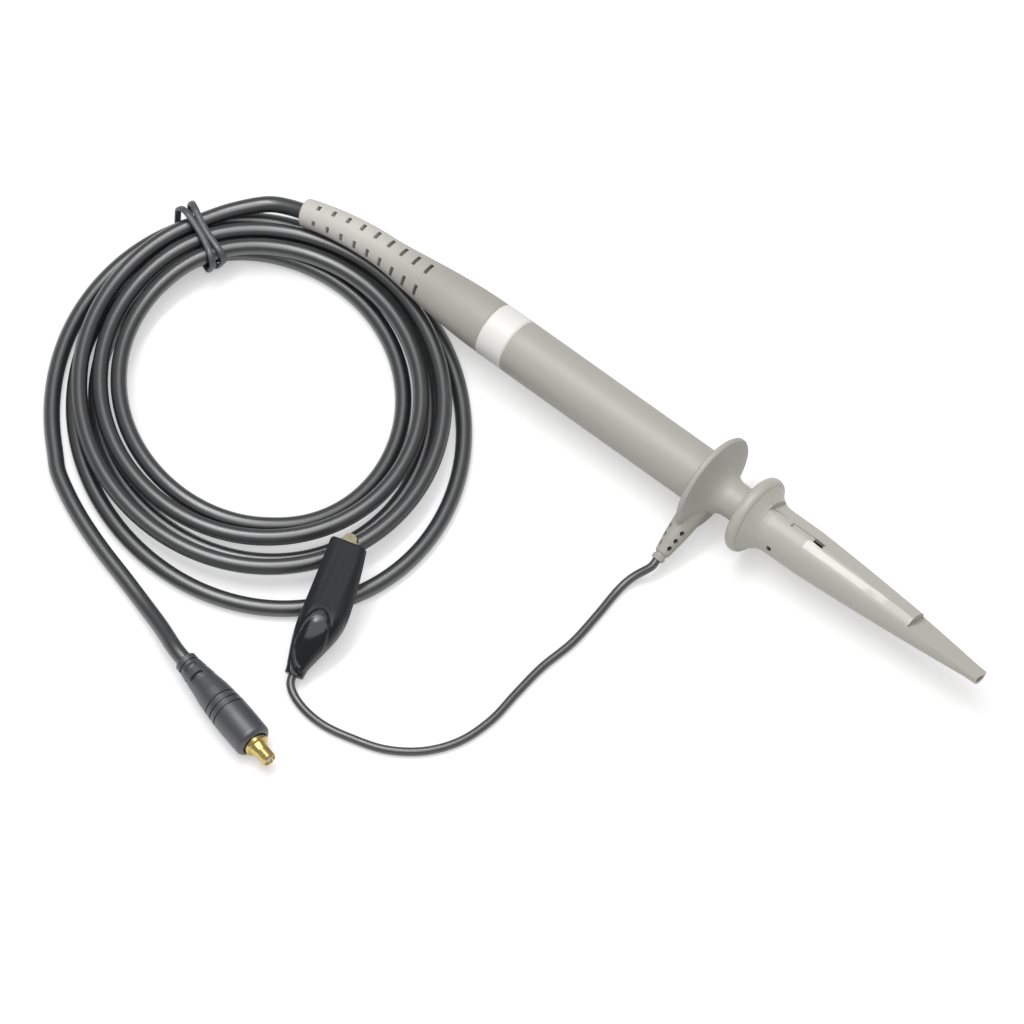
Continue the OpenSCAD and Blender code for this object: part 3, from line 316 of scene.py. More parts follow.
def pvc_jacket(name, colour, roughness=0.38):
    # Extruded PVC cable jacket: drawn lines along its length, 0.25 mm apart, and a soft gloss
    mat, tree, shader = blank(name, colour, roughness, 1.7, Coat_Weight=1.0, Coat_Roughness=0.36,
                              Coat_IOR=1.9)
    spot = where(tree, uv=True, scale=(0.02, 1, 1))
    noise = add(tree, "ShaderNodeTexNoise", {"Vector": spot, "Scale": 1 / 0.25, "Detail": 2.0})
    mix = add(tree, "ShaderNodeMix", {0: noise.outputs["Fac"]}, data_type="RGBA")
    set_rgba(mix, shade(colour, 1 - 0.3), shade(colour, 1 + 0.3))
    tree.links.new(mix.outputs[2], shader.inputs["Base Color"])
    bump = add(tree, "ShaderNodeBump", {"Height": noise.outputs["Fac"], "Distance": 0.012 * MM,
                                        "Strength": 0.7})
    tree.links.new(bump.outputs[0], shader.inputs["Normal"])
    return mat


def vinyl(name, colour, roughness, depth=0.006, coat=0.8, coat_roughness=0.12):
    # Moulded vinyl: smooth skin whose colour drifts over 2.5 mm, with a faint ripple 0.8 mm across
    mat, tree, shader = blank(name, colour, roughness, 1.54, Coat_Weight=coat,
                              Coat_Roughness=coat_roughness, Coat_IOR=1.8)
    spot = where(tree)
    mottle(tree, shader, spot, 2.5, colour, 0.2)
    grain(tree, shader, spot, 0.8, depth)
    return mat


def dipped_vinyl(name, colour):
    # Dipped black vinyl: wet gloss on the tail, handled and matt from 15 mm on, with faint streaks
    mat, tree, shader = blank(name, colour, 0.1, 1.48)
    coords = add(tree, "ShaderNodeTexCoord")
    along = add(tree, "ShaderNodeSeparateXYZ", {"Vector": coords.outputs["UV"]})
    streaks = add(tree, "ShaderNodeTexNoise", {"Vector": where(tree, uv=True, scale=(0.08, 1, 1)),
                                               "Scale": 1 / 0.8, "Detail": 3.0})
    worn = add(tree, "ShaderNodeMapRange", {"Value": along.outputs["X"], "From Min": 13.0,
                                            "From Max": 17.0, "To Min": 0.06, "To Max": 0.62})
    rough = add(tree, "ShaderNodeMath", {0: streaks.outputs["Fac"], 1: 0.1, 2: worn.outputs[0]},
                operation="MULTIPLY_ADD")
    tree.links.new(rough.outputs[0], shader.inputs["Roughness"])
    mix = add(tree, "ShaderNodeMix", {0: streaks.outputs["Fac"]}, data_type="RGBA")
    set_rgba(mix, shade(colour, 0.8), shade(colour, 1.5))
    tree.links.new(mix.outputs[2], shader.inputs["Base Color"])
    grain(tree, shader, where(tree), 0.8, 0.004)
    return mat


def turned_metal(name, colour, roughness, pitch=0.12):
    # Plated metal from a lathe: rings of tool marks across the axis
    mat, tree, shader = blank(name, colour, roughness, metallic=1.0)
    spot = where(tree, scale=(1, 0.05, 0.05))
    grain(tree, shader, spot, pitch, 0.002, detail=1.0)
    cloud = add(tree, "ShaderNodeTexNoise", {"Vector": where(tree), "Scale": 1 / 1.5,
                                             "Detail": 3.0})
    spread = add(tree, "ShaderNodeMapRange", {"Value": cloud.outputs["Fac"],
                                              "To Min": roughness * 0.8,
                                              "To Max": roughness * 1.25})
    tree.links.new(spread.outputs[0], shader.inputs["Roughness"])
    return mat


def pressed_metal(name, colour, roughness, stain=0.12):
    # Plated sheet or drawn wire: fine scratches in all directions, 0.3 mm apart, and stains
    mat, tree, shader = blank(name, colour, roughness, metallic=1.0)
    spot = where(tree)
    mottle(tree, shader, spot, 0.7, colour, stain)
    grain(tree, shader, spot, 0.3, 0.004, detail=4.0)
    return mat


def glass_board(name, colour):
    # FR4 board: green lacquer over glass cloth with a weave 0.6 mm apart
    mat, tree, shader = blank(name, colour, 0.35, 1.55)
    spot = where(tree)
    weave = add(tree, "ShaderNodeTexWave", {"Vector": spot, "Scale": 1 / 0.6 / 6.283,
                                            "Distortion": 0.5})
    mix = add(tree, "ShaderNodeMix", {0: weave.outputs["Fac"]}, data_type="RGBA")
    set_rgba(mix, shade(colour, 0.85), shade(colour, 1.15))
    tree.links.new(mix.outputs[2], shader.inputs["Base Color"])
    return mat


def lacquered_resistor(name, colour, band):
    # Lacquered film resistor: blue lacquer with coloured bands 1.1 mm apart
    mat, tree, shader = blank(name, colour, 0.25, 1.5, Coat_Weight=0.5)
    along = add(tree, "ShaderNodeSeparateXYZ", {"Vector": where(tree)})
    turn = add(tree, "ShaderNodeMath", {0: along.outputs["X"], 1: 1.1}, operation="PINGPONG")
    on = add(tree, "ShaderNodeMath", {0: turn.outputs[0], 1: 0.85}, operation="GREATER_THAN")
    mix = add(tree, "ShaderNodeMix", {0: on.outputs[0]}, data_type="RGBA")
    set_rgba(mix, colour, band)
    tree.links.new(mix.outputs[2], shader.inputs["Base Color"])
    return mat


def fired_ceramic(name, colour):
    # Unglazed ceramic: matt, slightly speckled
    mat, tree, shader = blank(name, colour, 0.7, 1.6)
    spot = where(tree)
    mottle(tree, shader, spot, 0.3, colour, 0.06)
    grain(tree, shader, spot, 0.2, 0.01)
    return mat


# ---- sizes and colours that a user would change ----
def size(name, default, description, low, high):
    return FloatProperty(name=name, description=description, default=default, min=low, max=high)


def colour_of(name, default, description):
    return FloatVectorProperty(name=name, description=description, subtype="COLOR", size=3,
                               min=0.0, max=1.0, default=linear(default)[:3])


class ProbeSizes(bpy.types.PropertyGroup):
    cable_d: size("Cable diameter", 3.8, "Diameter of the coaxial cable, in mm", 3.4, 3.8)
    lead_d: size("Ground lead diameter", 2.0, "Diameter of the ground lead, in mm", 1.6, 2.2)
    coil_loops: size("Coil loops", 5.27, "Loops of the coiled cable", 5.22, 5.32)
    slot_w: size("Slot width", 0.9, "Width of the slots in the rear boot, in mm", 0.8, 1.8)
    rib_h: size("Cover rib height", 0.05, "Height of the ribs on the clip's cover, in mm", 0.0, 0.4)
    tie_w: size("Tie width", 1.6, "Width of each of the tie's straps, in mm", 1.2, 2.4)
    cable_sides: IntProperty(name="Cable sides", description="Faces round the cable", default=28,
                             min=8, max=48)


class ProbeColours(bpy.types.PropertyGroup):
    shell: colour_of("Shell", "#BCBBB3", "Moulded grey of the barrel and finger guard")
    sleeve: colour_of("Sleeve", "#C2C1B7", "Glossy grey of the hook sleeve")
    boot: colour_of("Boots", "#B4B3AB", "Soft grey of the boots")
    # Boot tail: the paler grey painted over the rear boot's tail, a painted glow for light through
    # its thin wall
    boot_tail_glow: colour_of("Boot tail", "#D6D5CE", "Paler grey of the rear boot's thin tail")
    ring: colour_of("Colour ring", "#FAF9F5", "Colour ring that marks the probe")
    cable: colour_of("Cable", "#181A1E", "Jacket of the cable")
    lead: colour_of("Ground lead", "#1C1D20", "Jacket of the ground lead")
    cover: colour_of("Clip cover", "#1C1D20", "Vinyl cover of the clip")
    plug: colour_of("Plug", "#3A3B40", "Overmould of the plug")
    tie: colour_of("Tie", "#55565A", "Tie round the coil")
    gold: colour_of("Gold", "#F0D88E", "Plating of the plug's contact")


# ---- routes of the cable and the ground lead ----
# Rear boot: its sag leaves the probe's axis over the last BOOT_SAG_L of its length
BOOT_L, BOOT_TAIL_R, BOOT_SWELL, BOOT_BORE_R = 54.8, 3.3, 3.2, 2.05
BOOT_SAG, BOOT_SAG_L, SAG_WAY = 3.7, 24.0, np.array([0, -0.7, -0.714])


def heading_of_boot(x):
    """Way of the boot's centre line: its slope grows towards the tail as the boot sags."""
    left = np.maximum(BOOT_SAG_L - np.asarray(x, float), 0)[..., None]
    return unit(np.array([1.0, 0, 0]) - 2 * BOOT_SAG * left / BOOT_SAG_L ** 2 * SAG_WAY)


def centre_of_boot(x):
    """Centre line of the boot: its sag times the square of the share of the sagging length left."""
    x = np.asarray(x, float)
    left = np.maximum(BOOT_SAG_L - x, 0)[..., None]
    return np.stack([x, 0 * x, 0 * x], axis=-1) + BOOT_SAG * (left / BOOT_SAG_L) ** 2 * SAG_WAY


BOOT_TAIL_X = BOOT_TAIL_R * math.sin(math.atan(2 * BOOT_SAG / BOOT_SAG_L))
TO_TABLE = np.array([-HALF_L, 0, AXIS_Z])
PLUG_BACK = np.array([-44.4, -108.9, 4.55])
PLUG_YAW = math.radians(-14)
PLUG_WAY = np.array([math.cos(PLUG_YAW), math.sin(PLUG_YAW), 0])


# Coil, lengths in mm and angles in degrees: half axes of its ellipse and the ellipse's own turn,
# first angle, loops on the upper layer, inset per loop, belly and lean with their places, centre
COIL_A, COIL_B, COIL_TURN = 46.6, 54.8, 54
COIL_FIRST, COIL_UPPER_LOOPS, COIL_STEP = 76, 2.5, 4.35
COIL_BELLY, COIL_BELLY_LOOP, COIL_BELLY_AT = 17, 1.9, 272
COIL_LEAN, COIL_LEAN_AT = 3, 150
COIL_X, COIL_Y = -72.2, -48.4
# Height of the lower layer, rise to the upper one, and the tie's lift with its place and reach
COIL_LOW, COIL_RISE = 1.95, 4.25
COIL_LIFT, COIL_LIFT_AT, COIL_LIFT_REACH = 1.5, 92, 25
# Loops of the formula that are left out at its start, where the lead-in joins
COIL_START = 0.05


def coil_points(t):
    """Points of the coil after t loops: an ellipse less an inset.

    It winds inward on the upper layer and outward again on the lower one. Opposite the tie its
    belly draws it in, most for the loops in the middle. The upper layer leans to one side, and the
    tie lifts what lies over it.
    """
    t = np.asarray(t, float)
    a = np.radians(COIL_FIRST + 360 * t)
    upper = 1 - smooth((t - 2.3) / 0.45)
    belly = np.maximum(COIL_BELLY - 2 * (t - COIL_BELLY_LOOP) ** 2, 0) \
        * ((1 + np.cos(a - math.radians(COIL_BELLY_AT))) / 2) ** 2
    inset = COIL_STEP * (COIL_UPPER_LOOPS - np.abs(t - COIL_UPPER_LOOPS)) + belly \
        + COIL_LEAN * np.cos(a - math.radians(COIL_LEAN_AT)) * upper
    near_tie = np.degrees((a - math.radians(COIL_LIFT_AT) + np.pi) % (2 * np.pi) - np.pi)
    lift = COIL_LIFT * np.exp(-(near_tie / COIL_LIFT_REACH) ** 2)
    u, v = (COIL_A - inset) * np.cos(a), (COIL_B - inset) * np.sin(a)
    c, s = math.cos(math.radians(COIL_TURN)), math.sin(math.radians(COIL_TURN))
    return np.stack([COIL_X + u * c - v * s, COIL_Y + u * s + v * c,
                     COIL_LOW + COIL_RISE * upper + lift], axis=-1)


def cable_route(loops, d):
    """From the rear boot down to the coil, round it, and along the table to the plug."""
    coil = coil_points(np.linspace(COIL_START, loops, int(round((loops - COIL_START) * 120)) + 1))
    way_in = unit(coil_points(COIL_START + 0.002) - coil_points(COIL_START - 0.002))
    way_out = unit(coil_points(loops + 0.002) - coil_points(loops - 0.002))
    exit_at = centre_of_boot(BOOT_TAIL_X) + TO_TABLE
    exit_way = -heading_of_boot(BOOT_TAIL_X)
    first, last = coil[0] - d * way_in, coil[-1] + d * way_out
    lead_in = through([exit_at, exit_at + d * exit_way, [-106.7, -5, 8.3], [-110.4, -9.2, 8.1],
                       first - d * way_in, first])
    lead_out = through([last, last + d * way_out, [-92.6, -92, 2], [-85.6, -95, 2], [-78, -97.6, 2],
                        [-70, -99.9, 2], [-62, -102.4, 2.2], [-54.3, -105.2, 3.3],
                        PLUG_BACK - d * PLUG_WAY, PLUG_BACK])
    return evenly(np.vstack([lead_in[:-1], coil, lead_out]), 0.9, 3.0)


LEAD_WAY = np.array([0, -math.cos(math.radians(21)), -math.sin(math.radians(21))])
LEAD_BOOT_START = np.array([20.55, 0, AXIS_Z])
# Along the lead's way from the probe's axis: end of its boot, and its start in the terminal
LEAD_BOOT_END, LEAD_START = 21.3, 9.05
CLIP_TAIL = np.array([-23.6, -95.4, 2.9])
CLIP_YAW, CLIP_TILT = math.radians(105.5), math.radians(21)


def clip_frame():
    """Forward, side and top of the clip, which lies on the coil with its nose up."""
    ct, st = math.cos(CLIP_TILT), math.sin(CLIP_TILT)
    cy, sy = math.cos(CLIP_YAW), math.sin(CLIP_YAW)
    return (np.array([ct * cy, ct * sy, st]), np.array([-sy, cy, 0]),
            np.array([-st * cy, -st * sy, ct]))


def on_clip(points):
    """Points given along the clip, to its side and upwards, in the frame of the table."""
    p = np.asarray(points, float)
    f, s, t = clip_frame()
    return CLIP_TAIL + p[..., :1] * f + p[..., 1:2] * s + p[..., 2:3] * t


def lead_route(d):
    """From the guard's terminal through its boot, along the table and up into the clip."""
    start = LEAD_BOOT_START + LEAD_BOOT_END * LEAD_WAY
    root = start - (LEAD_BOOT_END - LEAD_START) * LEAD_WAY
    points = [[18.4, -25.6, 2.3], [17.6, -30, 1.2], [18.2, -38.5, 1.1], [18.5, -47.5, 1.1],
              [17.4, -56.8, 1.1], [17.4, -66, 1.1], [17.6, -75, 1.1], [15.7, -83.8, 1.1],
              [11.1, -91, 1.1], [4.4, -96.1, 1.1], [-3, -98.7, 1.1], [-11, -100.3, 1.1],
              [-18.2, -99.6, 1.3]]
    free = through([root, start, start + d * LEAD_WAY, *points, on_clip([-d, 0, 0]),
                    on_clip([2.5, 0, 0])])
    return evenly(free, 0.6, 1.2)


# ---- pieces ----
def own(operator_name):
    return "probe." + operator_name


class CableOperator(bpy.types.Operator):
    """Lays the coaxial cable from the boot, through the coil, to the plug"""
    bl_idname = own("cable")
    bl_label = "Cable"

    def execute(self, context):
        sizes, colours = context.scene.probe_sizes, context.scene.probe_colours
        d = sizes.cable_d
        path = cable_route(sizes.coil_loops, d)
        jacket = pvc_jacket("pvc_cable_jacket", rgba(colours.cable))
        run = np.arange(len(path)) * route_length(path) / (len(path) - 1)
        cable = surface("coax_cable", tube_grid(path, d / 2, sizes.cable_sides),
                        uv_mm=(run, math.pi * d))
        cable.data.materials.append(jacket)
        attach(cable, "probe")
        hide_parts("cable_lead_in", "cable_coil", "cable_lead_out")
        on_plug = [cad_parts["plug_" + part]
                   for part in ("ferrule", "shell", "insulator", "pin")]
        on_plug.append(bpy.data.objects["plug_overmould"])
        self.inner_ends(d, jacket)
        return {"FINISHED"}

    def inner_ends(self, d, jacket):
        """The cable inside the boot and inside the overmould, cut square at its ferrules."""
        xs = np.concatenate([np.linspace(BOOT_TAIL_X, BOOT_L, 40), [62.0]])
        inside = centre_of_boot(xs) + TO_TABLE
        run = np.linspace(0, route_length(inside), len(inside))
        end_a = surface("cable_in_boot", tube_grid(inside, d / 2, 20), uv_mm=(run, math.pi * d))
        reach = np.array([0.0, 3, 6, 9])
        inside = PLUG_BACK + reach[:, None] * PLUG_WAY
        end_b = surface("cable_in_plug", tube_grid(inside, d / 2, 20), uv_mm=(reach, math.pi * d))
        for piece in (end_a, end_b):
            piece.data.materials.append(jacket)
            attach(piece, "probe")
            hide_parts("cable_ends")


class LeadOperator(bpy.types.Operator):
    """Lays the ground lead from the finger guard to the crocodile clip"""
    bl_idname = own("ground_lead")
    bl_label = "Ground lead"

    def execute(self, context):
        d = context.scene.probe_sizes.lead_d
        path = lead_route(d)
        run = np.arange(len(path)) * route_length(path) / (len(path) - 1)
        lead = surface("ground_lead_wire", tube_grid(path, d / 2, 20), uv_mm=(run, math.pi * d))
        colour = rgba(context.scene.probe_colours.lead)
        lead.data.materials.append(pvc_jacket("pvc_lead_jacket", colour, roughness=0.5))
        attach(lead, "ground_collar")
        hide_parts("ground_lead")
        return {"FINISHED"}


# Stations of the boot's slots, the web between them, and how deep they go
SLOT_COUNT, SLOT_FIRST, SLOT_PITCH, SLOT_TURN = 9, 5, 3.8, math.radians(30)
SLOT_WEB, SLOT_BOTTOM_R, SLOT_BOTTOM_MIN = 3.0, 2.1, 1.2


class BootOperator(bpy.types.Operator):
    """Models the slotted strain relief boot at the rear of the probe"""
    bl_idname = own("rear_boot")
    bl_label = "Rear boot"

    def execute(self, context):
        sizes, colours = context.scene.probe_sizes, context.scene.probe_colours
        grid, jacket_and_shade_floor = self.grid(sizes.slot_w)
        boot = surface("strain_relief_boot", grid, ring=True, sharp=30)
        boot.data.materials.append(soft_pvc("soft_pvc_boot", rgba(colours.boot),
                                            rgba(colours.boot_tail_glow)))
        # Slot bottoms: the cable's jacket seen through the slots, in a near-black darker than the
        # cable's own colour, which is painted shade
        boot.data.materials.append(pvc_jacket("pvc_jacket_and_painted_shade_in_slots", linear("#0C0C0D")))
        boot.data.polygons.foreach_set("material_index", jacket_and_shade_floor.ravel().astype(np.int32))
        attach(boot, "probe")
        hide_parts("rear_boot")
        return {"FINISHED"}

    def radius(self, x):
        """The tail's radius plus the swell: 18% of it over the first 42% of the length."""
        s = np.asarray(x, float) / BOOT_L
        grown = 0.18 + 0.82 * np.sin(np.radians(90 * np.clip((s - 0.42) / 0.58, 0, 1))) ** 1.25
        return BOOT_TAIL_R + BOOT_SWELL * np.where(s < 0.42, 0.18 * s / 0.42, grown)

    def grid(self, slot_w):
        """Outer skin with its stations of four slots, then the pocket and the bore.

        The slots lie on each side of an upper and a lower web, which are turned about the boot's
        axis. In a slot the skin drops straight down, parallel to the web, to the cable. Also gives
        the faces at the bottom of the slots, which show the cable's jacket in a near-black darker
        than the cable: painted shade.
        """
        half = slot_w / 2
        slots = SLOT_FIRST + SLOT_PITCH * np.arange(SLOT_COUNT)
        edges = np.concatenate([slots + k for k in (-half - 0.16, -half, -half + 0.08, half - 0.08,
                                                    half, half + 0.16)])
        xs = np.unique(np.round(np.concatenate([np.linspace(BOOT_TAIL_X, 54.5, 90), edges]), 4))
        # Rounded lip at the tail
        xs = np.concatenate([xs[:1], xs[:1] + 0.3, xs[1:]])
        q = np.radians(np.arange(0, 360, 1.5))
        r = self.radius(xs)[:, None] - np.where(np.arange(len(xs)) == 0, 0.35, 0)[:, None] + 0 * q
        y, z = r * np.cos(q - SLOT_TURN), r * np.sin(q - SLOT_TURN)
        share = np.clip((xs - slots[0]) / (slots[-1] - slots[0]), 0, 1)[:, None]
        from_web = np.abs(y) - SLOT_WEB / 2 * (0.9 + 0.2 * share)
        near = np.abs(xs[:, None] - slots).min(axis=1)[:, None]
        hit = (near < half - 0.01) & (from_web > 0) & (from_web < 1 + 1.4 * share)
        floor = np.maximum(np.sqrt(np.maximum(SLOT_BOTTOM_R ** 2 - y ** 2, 0)), SLOT_BOTTOM_MIN)
        z = np.where(hit, np.sign(z) * np.minimum(floor, np.abs(z)), z)
        inner = np.array([[BOOT_L, 6.3], [BOOT_L, 5.25], [46.3, 5.25], [46.3, BOOT_BORE_R],
                          [30, BOOT_BORE_R], [20, BOOT_BORE_R], [10, BOOT_BORE_R],
                          [BOOT_TAIL_X, BOOT_BORE_R]])
        r_in = inner[:, 1:] + 0 * q
        x = np.concatenate([xs, inner[:, 0]])
        y = np.vstack([y, r_in * np.cos(q - SLOT_TURN)])
        z = np.vstack([z, r_in * np.sin(q - SLOT_TURN)])
        c, s = math.cos(SLOT_TURN), math.sin(SLOT_TURN)
        y, z = y * c - z * s, y * s + z * c
        way = heading_of_boot(x)
        side = unit(np.cross(Z_UP, way))
        top = np.cross(way, side)
        # Faces at the slot bottoms, which take the jacket colour darkened with painted shade
        low = np.vstack([hit, np.zeros_like(r_in, bool)])
        low = low & np.roll(low, -1, axis=0)
        low = low & np.roll(low, -1, axis=1)
        skin = (centre_of_boot(x) + TO_TABLE)[:, None] + y[..., None] * side[:, None] \
            + z[..., None] * top[:, None]
        return skin, low


# Grooves round the overmould's body, and pairs of slots in its throat
GROOVE_COUNT, GROOVE_FIRST, GROOVE_PITCH, GROOVE_DEPTH = 3, 13.6, 1.7, 0.32
THROAT_SLOTS, THROAT_FIRST, THROAT_PITCH, THROAT_BOTTOM_R = 3, 3.25, 1.4, 2.5


class PlugOperator(bpy.types.Operator):
    """Models the plug's overmould with its collar, slots and grooves"""
    bl_idname = own("plug")
    bl_label = "Plug"

    def execute(self, context):
        plug = surface("plug_overmould", self.grid(), ring=True, sharp=28)
        plug.data.materials.append(vinyl("satin_overmould", rgba(context.scene.probe_colours.plug),
                                         0.5, 0.008, 1.0, 0.4))
        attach(plug, "probe")
        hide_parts("plug_cover")
        return {"FINISHED"}

    def grid(self):
        """A turned profile: collar, slotted throat, swelling body with three grooves, round end."""
        corners = [[0, 2.2], [0, 2.4], [0.3, 2.7], [1.5, 2.7], [1.55, 2.35], [2.2, 2.35],
                   [2.25, 2.8], [6.8, 3.4], [7.4, 3.42], [11, 4], [13.55, 4.2]]
        for k in range(GROOVE_COUNT):
            x, r = GROOVE_FIRST + GROOVE_PITCH * k, 4.21 + 0.11 * k
            corners += [[x - 0.03, r], [x + 0.04, r - GROOVE_DEPTH], [x + 0.31, r - GROOVE_DEPTH],
                        [x + 0.38, r + 0.02]]
        corners += [[20, 4.5], [25.9, 4.45], [26.3, 4.32], [26.65, 4.05], [26.9, 3.75], [27, 3.5],
                    [27, 3.2], [26.2, 3.2], [26.2, 2.7], [12.8, 2.7], [12.8, 2.55], [8.9, 2.55],
                    [8.9, 2.2]]
        profile = spread_profile(corners, 0.35)
        grid = turned_grid(profile, 144, (0, 0, 0))
        # Staggered slots in the throat: the skin drops where a slot's box lies
        x, q = grid[..., 0], np.arctan2(grid[..., 2], grid[..., 1])
        r = np.hypot(grid[..., 1], grid[..., 2])
        outer = (np.arange(len(profile)) < len(profile) * 0.7)[:, None]
        for i in range(THROAT_SLOTS):
            middle = math.radians(25 + 90 + 90 * (i % 2))
            off = (q - middle + np.pi / 2) % np.pi - np.pi / 2
            along = np.abs(x - THROAT_FIRST - THROAT_PITCH * i) < 0.4
            hit = along & (np.abs(r * np.sin(off)) < 1.7) & outer
            r = np.where(hit, np.minimum(r, THROAT_BOTTOM_R), r)
        local = np.stack([x, r * np.cos(q), r * np.sin(q)], axis=-1)
        c, s = math.cos(PLUG_YAW), math.sin(PLUG_YAW)
        return PLUG_BACK + np.stack([local[..., 0] * c - local[..., 1] * s,
                                     local[..., 0] * s + local[..., 1] * c, local[..., 2]], axis=-1)


class CoverOperator(bpy.types.Operator):
    """Models the clip's soft vinyl cover with its ribs and thumb tongue"""
    bl_idname = own("clip_cover")
    bl_label = "Clip cover"

    def execute(self, context):
        sizes = context.scene.probe_sizes
        grid, stations = self.grid(sizes.rib_h)
        cover = surface("clip_vinyl_cover", grid, ring=True, uv_mm=(stations, 28.0), sharp=40)
        colour = rgba(context.scene.probe_colours.cover)
        cover.data.materials.append(dipped_vinyl("black_vinyl", colour))
        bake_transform(cover)
        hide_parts("clip_cover")
        return {"FINISHED"}

    def grid(self, rib_h):
        """Rounded boxes of changing width and height, with ribs in front and a tongue on the back.

        A ring at a station is |y/w|^n + |z/h|^n = 1; w, h, the shift to the side and n follow a
        curve through the table below.
        """
        table = np.array([  # station, half width, top, bottom, shift, squareness
            [0, 2.2, 2.1, 2.1, 0, 2.4], [1.5, 2.35, 2.3, 2.2, 0, 2.5], [3, 2.7, 2.6, 2.4, 0, 2.6],
            [8, 4.2, 3.9, 3.2, -0.5, 2.6], [12, 5.1, 4.4, 3.6, -1, 2.6],
            [16, 5.3, 4.3, 3.7, -1.2, 2.8], [22, 5, 3.9, 3.6, -0.9, 3.2],
            [28, 4.6, 3.4, 3, -0.4, 3.6], [31.8, 4.3, 3, 2.6, 0, 4],
            [32.5, 4.15, 2.85, 2.5, 0, 4], [32.8, 3.9, 2.6, 2.3, 0, 4]])
        rows = through(table, 10)
        q = 2 * np.pi * np.arange(160) / 160
        c, s = np.cos(q), np.sin(q)

        def ring(row, inset):
            x, w, top, low, shift, n = row.T[:, :, None]
            k = (np.abs(c) ** n + np.abs(s) ** n) ** (-1 / n)
            h = np.where(s > 0, top, low) - inset
            return np.stack([x + 0 * k, shift + (w - inset) * k * c, h * k * s], axis=-1)

        outer = ring(rows, 0.0)
        x, y, z = outer[..., 0], outer[..., 1], outer[..., 2]
        ribs = rib_h * np.cos(2 * np.pi * y / 2.0) * smooth((x - 17) / 3) * smooth((31.6 - x) / 1.5)
        above = smooth((z / 2.2 - 0.35) / 0.4)
        # Tongue: a raised pad with a rim along its round front edge, bounded by a groove
        pad = np.hypot((x - 8.5) / 7.5, (y + 1.2) / 3.4)
        rim = 0.22 * np.exp(-((pad - 0.93) / 0.06) ** 2)
        groove = 0.2 * np.exp(-((pad - 1.08) / 0.07) ** 2)
        tongue = 0.35 * (1 - smooth((pad - 0.9) / 0.14)) + rim - groove
        outer = outer + (above * (ribs + tongue))[..., None] * np.array([0, 0, 1.0])
        inner_rows = np.array([[32.8, 4.3, 3, 2.6, 0, 3.4], [31.8, 4.3, 3, 2.6, 0, 3.2],
                               [28, 4.3, 3.4, 3, 0, 2.8], [22, 4.3, 3.9, 3.6, 0, 2.8],
                               [16, 4.3, 4.3, 3.7, 0, 2.8], [12, 4.3, 4.4, 3.6, 0, 2.8],
                               [8, 4.2, 3.9, 3.2, 0, 2.8], [2.2, 2.0, 2.0, 2.0, 0, 2.2],
                               [0.0, 1.8, 1.8, 1.8, 0, 2.0]])
        grid = np.vstack([outer, ring(inner_rows, 0.7)])
        stations = grid[:, :, 0].mean(axis=1)
        return on_clip(grid), np.append(stations, stations[0])


# The tie's frame on the table, its circles as TieOperator.grid uses them, and its thickness
TIE_CORNER, TIE_YAW = (-118.55, -19.25), math.radians(-22)
TIE_CIRCLES = ((0.77, 7.69, 3.20), (11.07, 7.69, 2.20), (9.23, 3.44, 2.20), (-0.51, 3.44, 2.20))
TIE_THICK = 0.9


class TieOperator(bpy.types.Operator):
    """Models the tie's two straps round the coil"""
    bl_idname = own("tie")
    bl_label = "Tie"

    def execute(self, context):
        width = context.scene.probe_sizes.tie_w
        colour = rgba(context.scene.probe_colours.tie)
        coating = vinyl("matt_vinyl_tie", colour, 0.45, 0.01, 0.3)
        for name, side in (("tie_strap_a", -1), ("tie_strap_b", 1)):
            strap = surface(name, self.grid(side, width), ring=True)
            strap.data.materials.append(coating)
            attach(strap, "probe")
            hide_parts("cable_tie")
        return {"FINISHED"}

    def grid(self, side, width):
        """A flat band with round edges along the hull of four circles that stand across the bundle.

        The circles are [place along the tie, height, radius] about the outer and inner loop of each
        layer. The hull's point with outward way w is c + r w of the circle of largest c.w + r.
        The two straps run close together in the middle and spread towards both ends.
        """
        circles = np.array(TIE_CIRCLES) + [0, 0, TIE_THICK / 2]
        w = np.radians(np.arange(0, 360, 2))
        w = np.stack([np.cos(w), np.sin(w)], axis=1)
        pick = (w @ circles[:, :2].T + circles[:, 2]).argmax(axis=1)
        line = circles[pick, :2] + circles[pick, 2:] * w
        line = np.vstack([line, line[:1]])
        run = np.concatenate([[0], np.cumsum(np.linalg.norm(np.diff(line, axis=0), axis=1))])
        at = np.linspace(0, run[-1], 161)[:-1]
        line = np.stack([np.interp(at, run, line[:, 0]), 0 * at, np.interp(at, run, line[:, 1])],
                        axis=1)
        way = unit(np.roll(line, -1, axis=0) - np.roll(line, 1, axis=0))
        out = np.cross(way, [0, 1.0, 0])
        line[:, 1] = side * np.minimum(0.72 + 0.75 * ((line[:, 0] - 6) / 8) ** 2, 1.6)
        q = 2 * np.pi * np.arange(24) / 24
        f = (np.abs(np.cos(q)) ** 2.6 + np.abs(np.sin(q)) ** 2.6) ** (-1 / 2.6)
        a2, b2 = f * np.cos(q) * width / 2, f * np.sin(q) * TIE_THICK / 2
        band = line[:, None] + a2[None, :, None] * np.array([0, 1.0, 0]) \
            + b2[None, :, None] * out[:, None]
        c, s = math.cos(TIE_YAW), math.sin(TIE_YAW)
        x, y, z = band[..., 0], band[..., 1], band[..., 2]
        return np.stack([TIE_CORNER[0] + x * c - y * s, TIE_CORNER[1] + x * s + y * c, z], axis=-1)


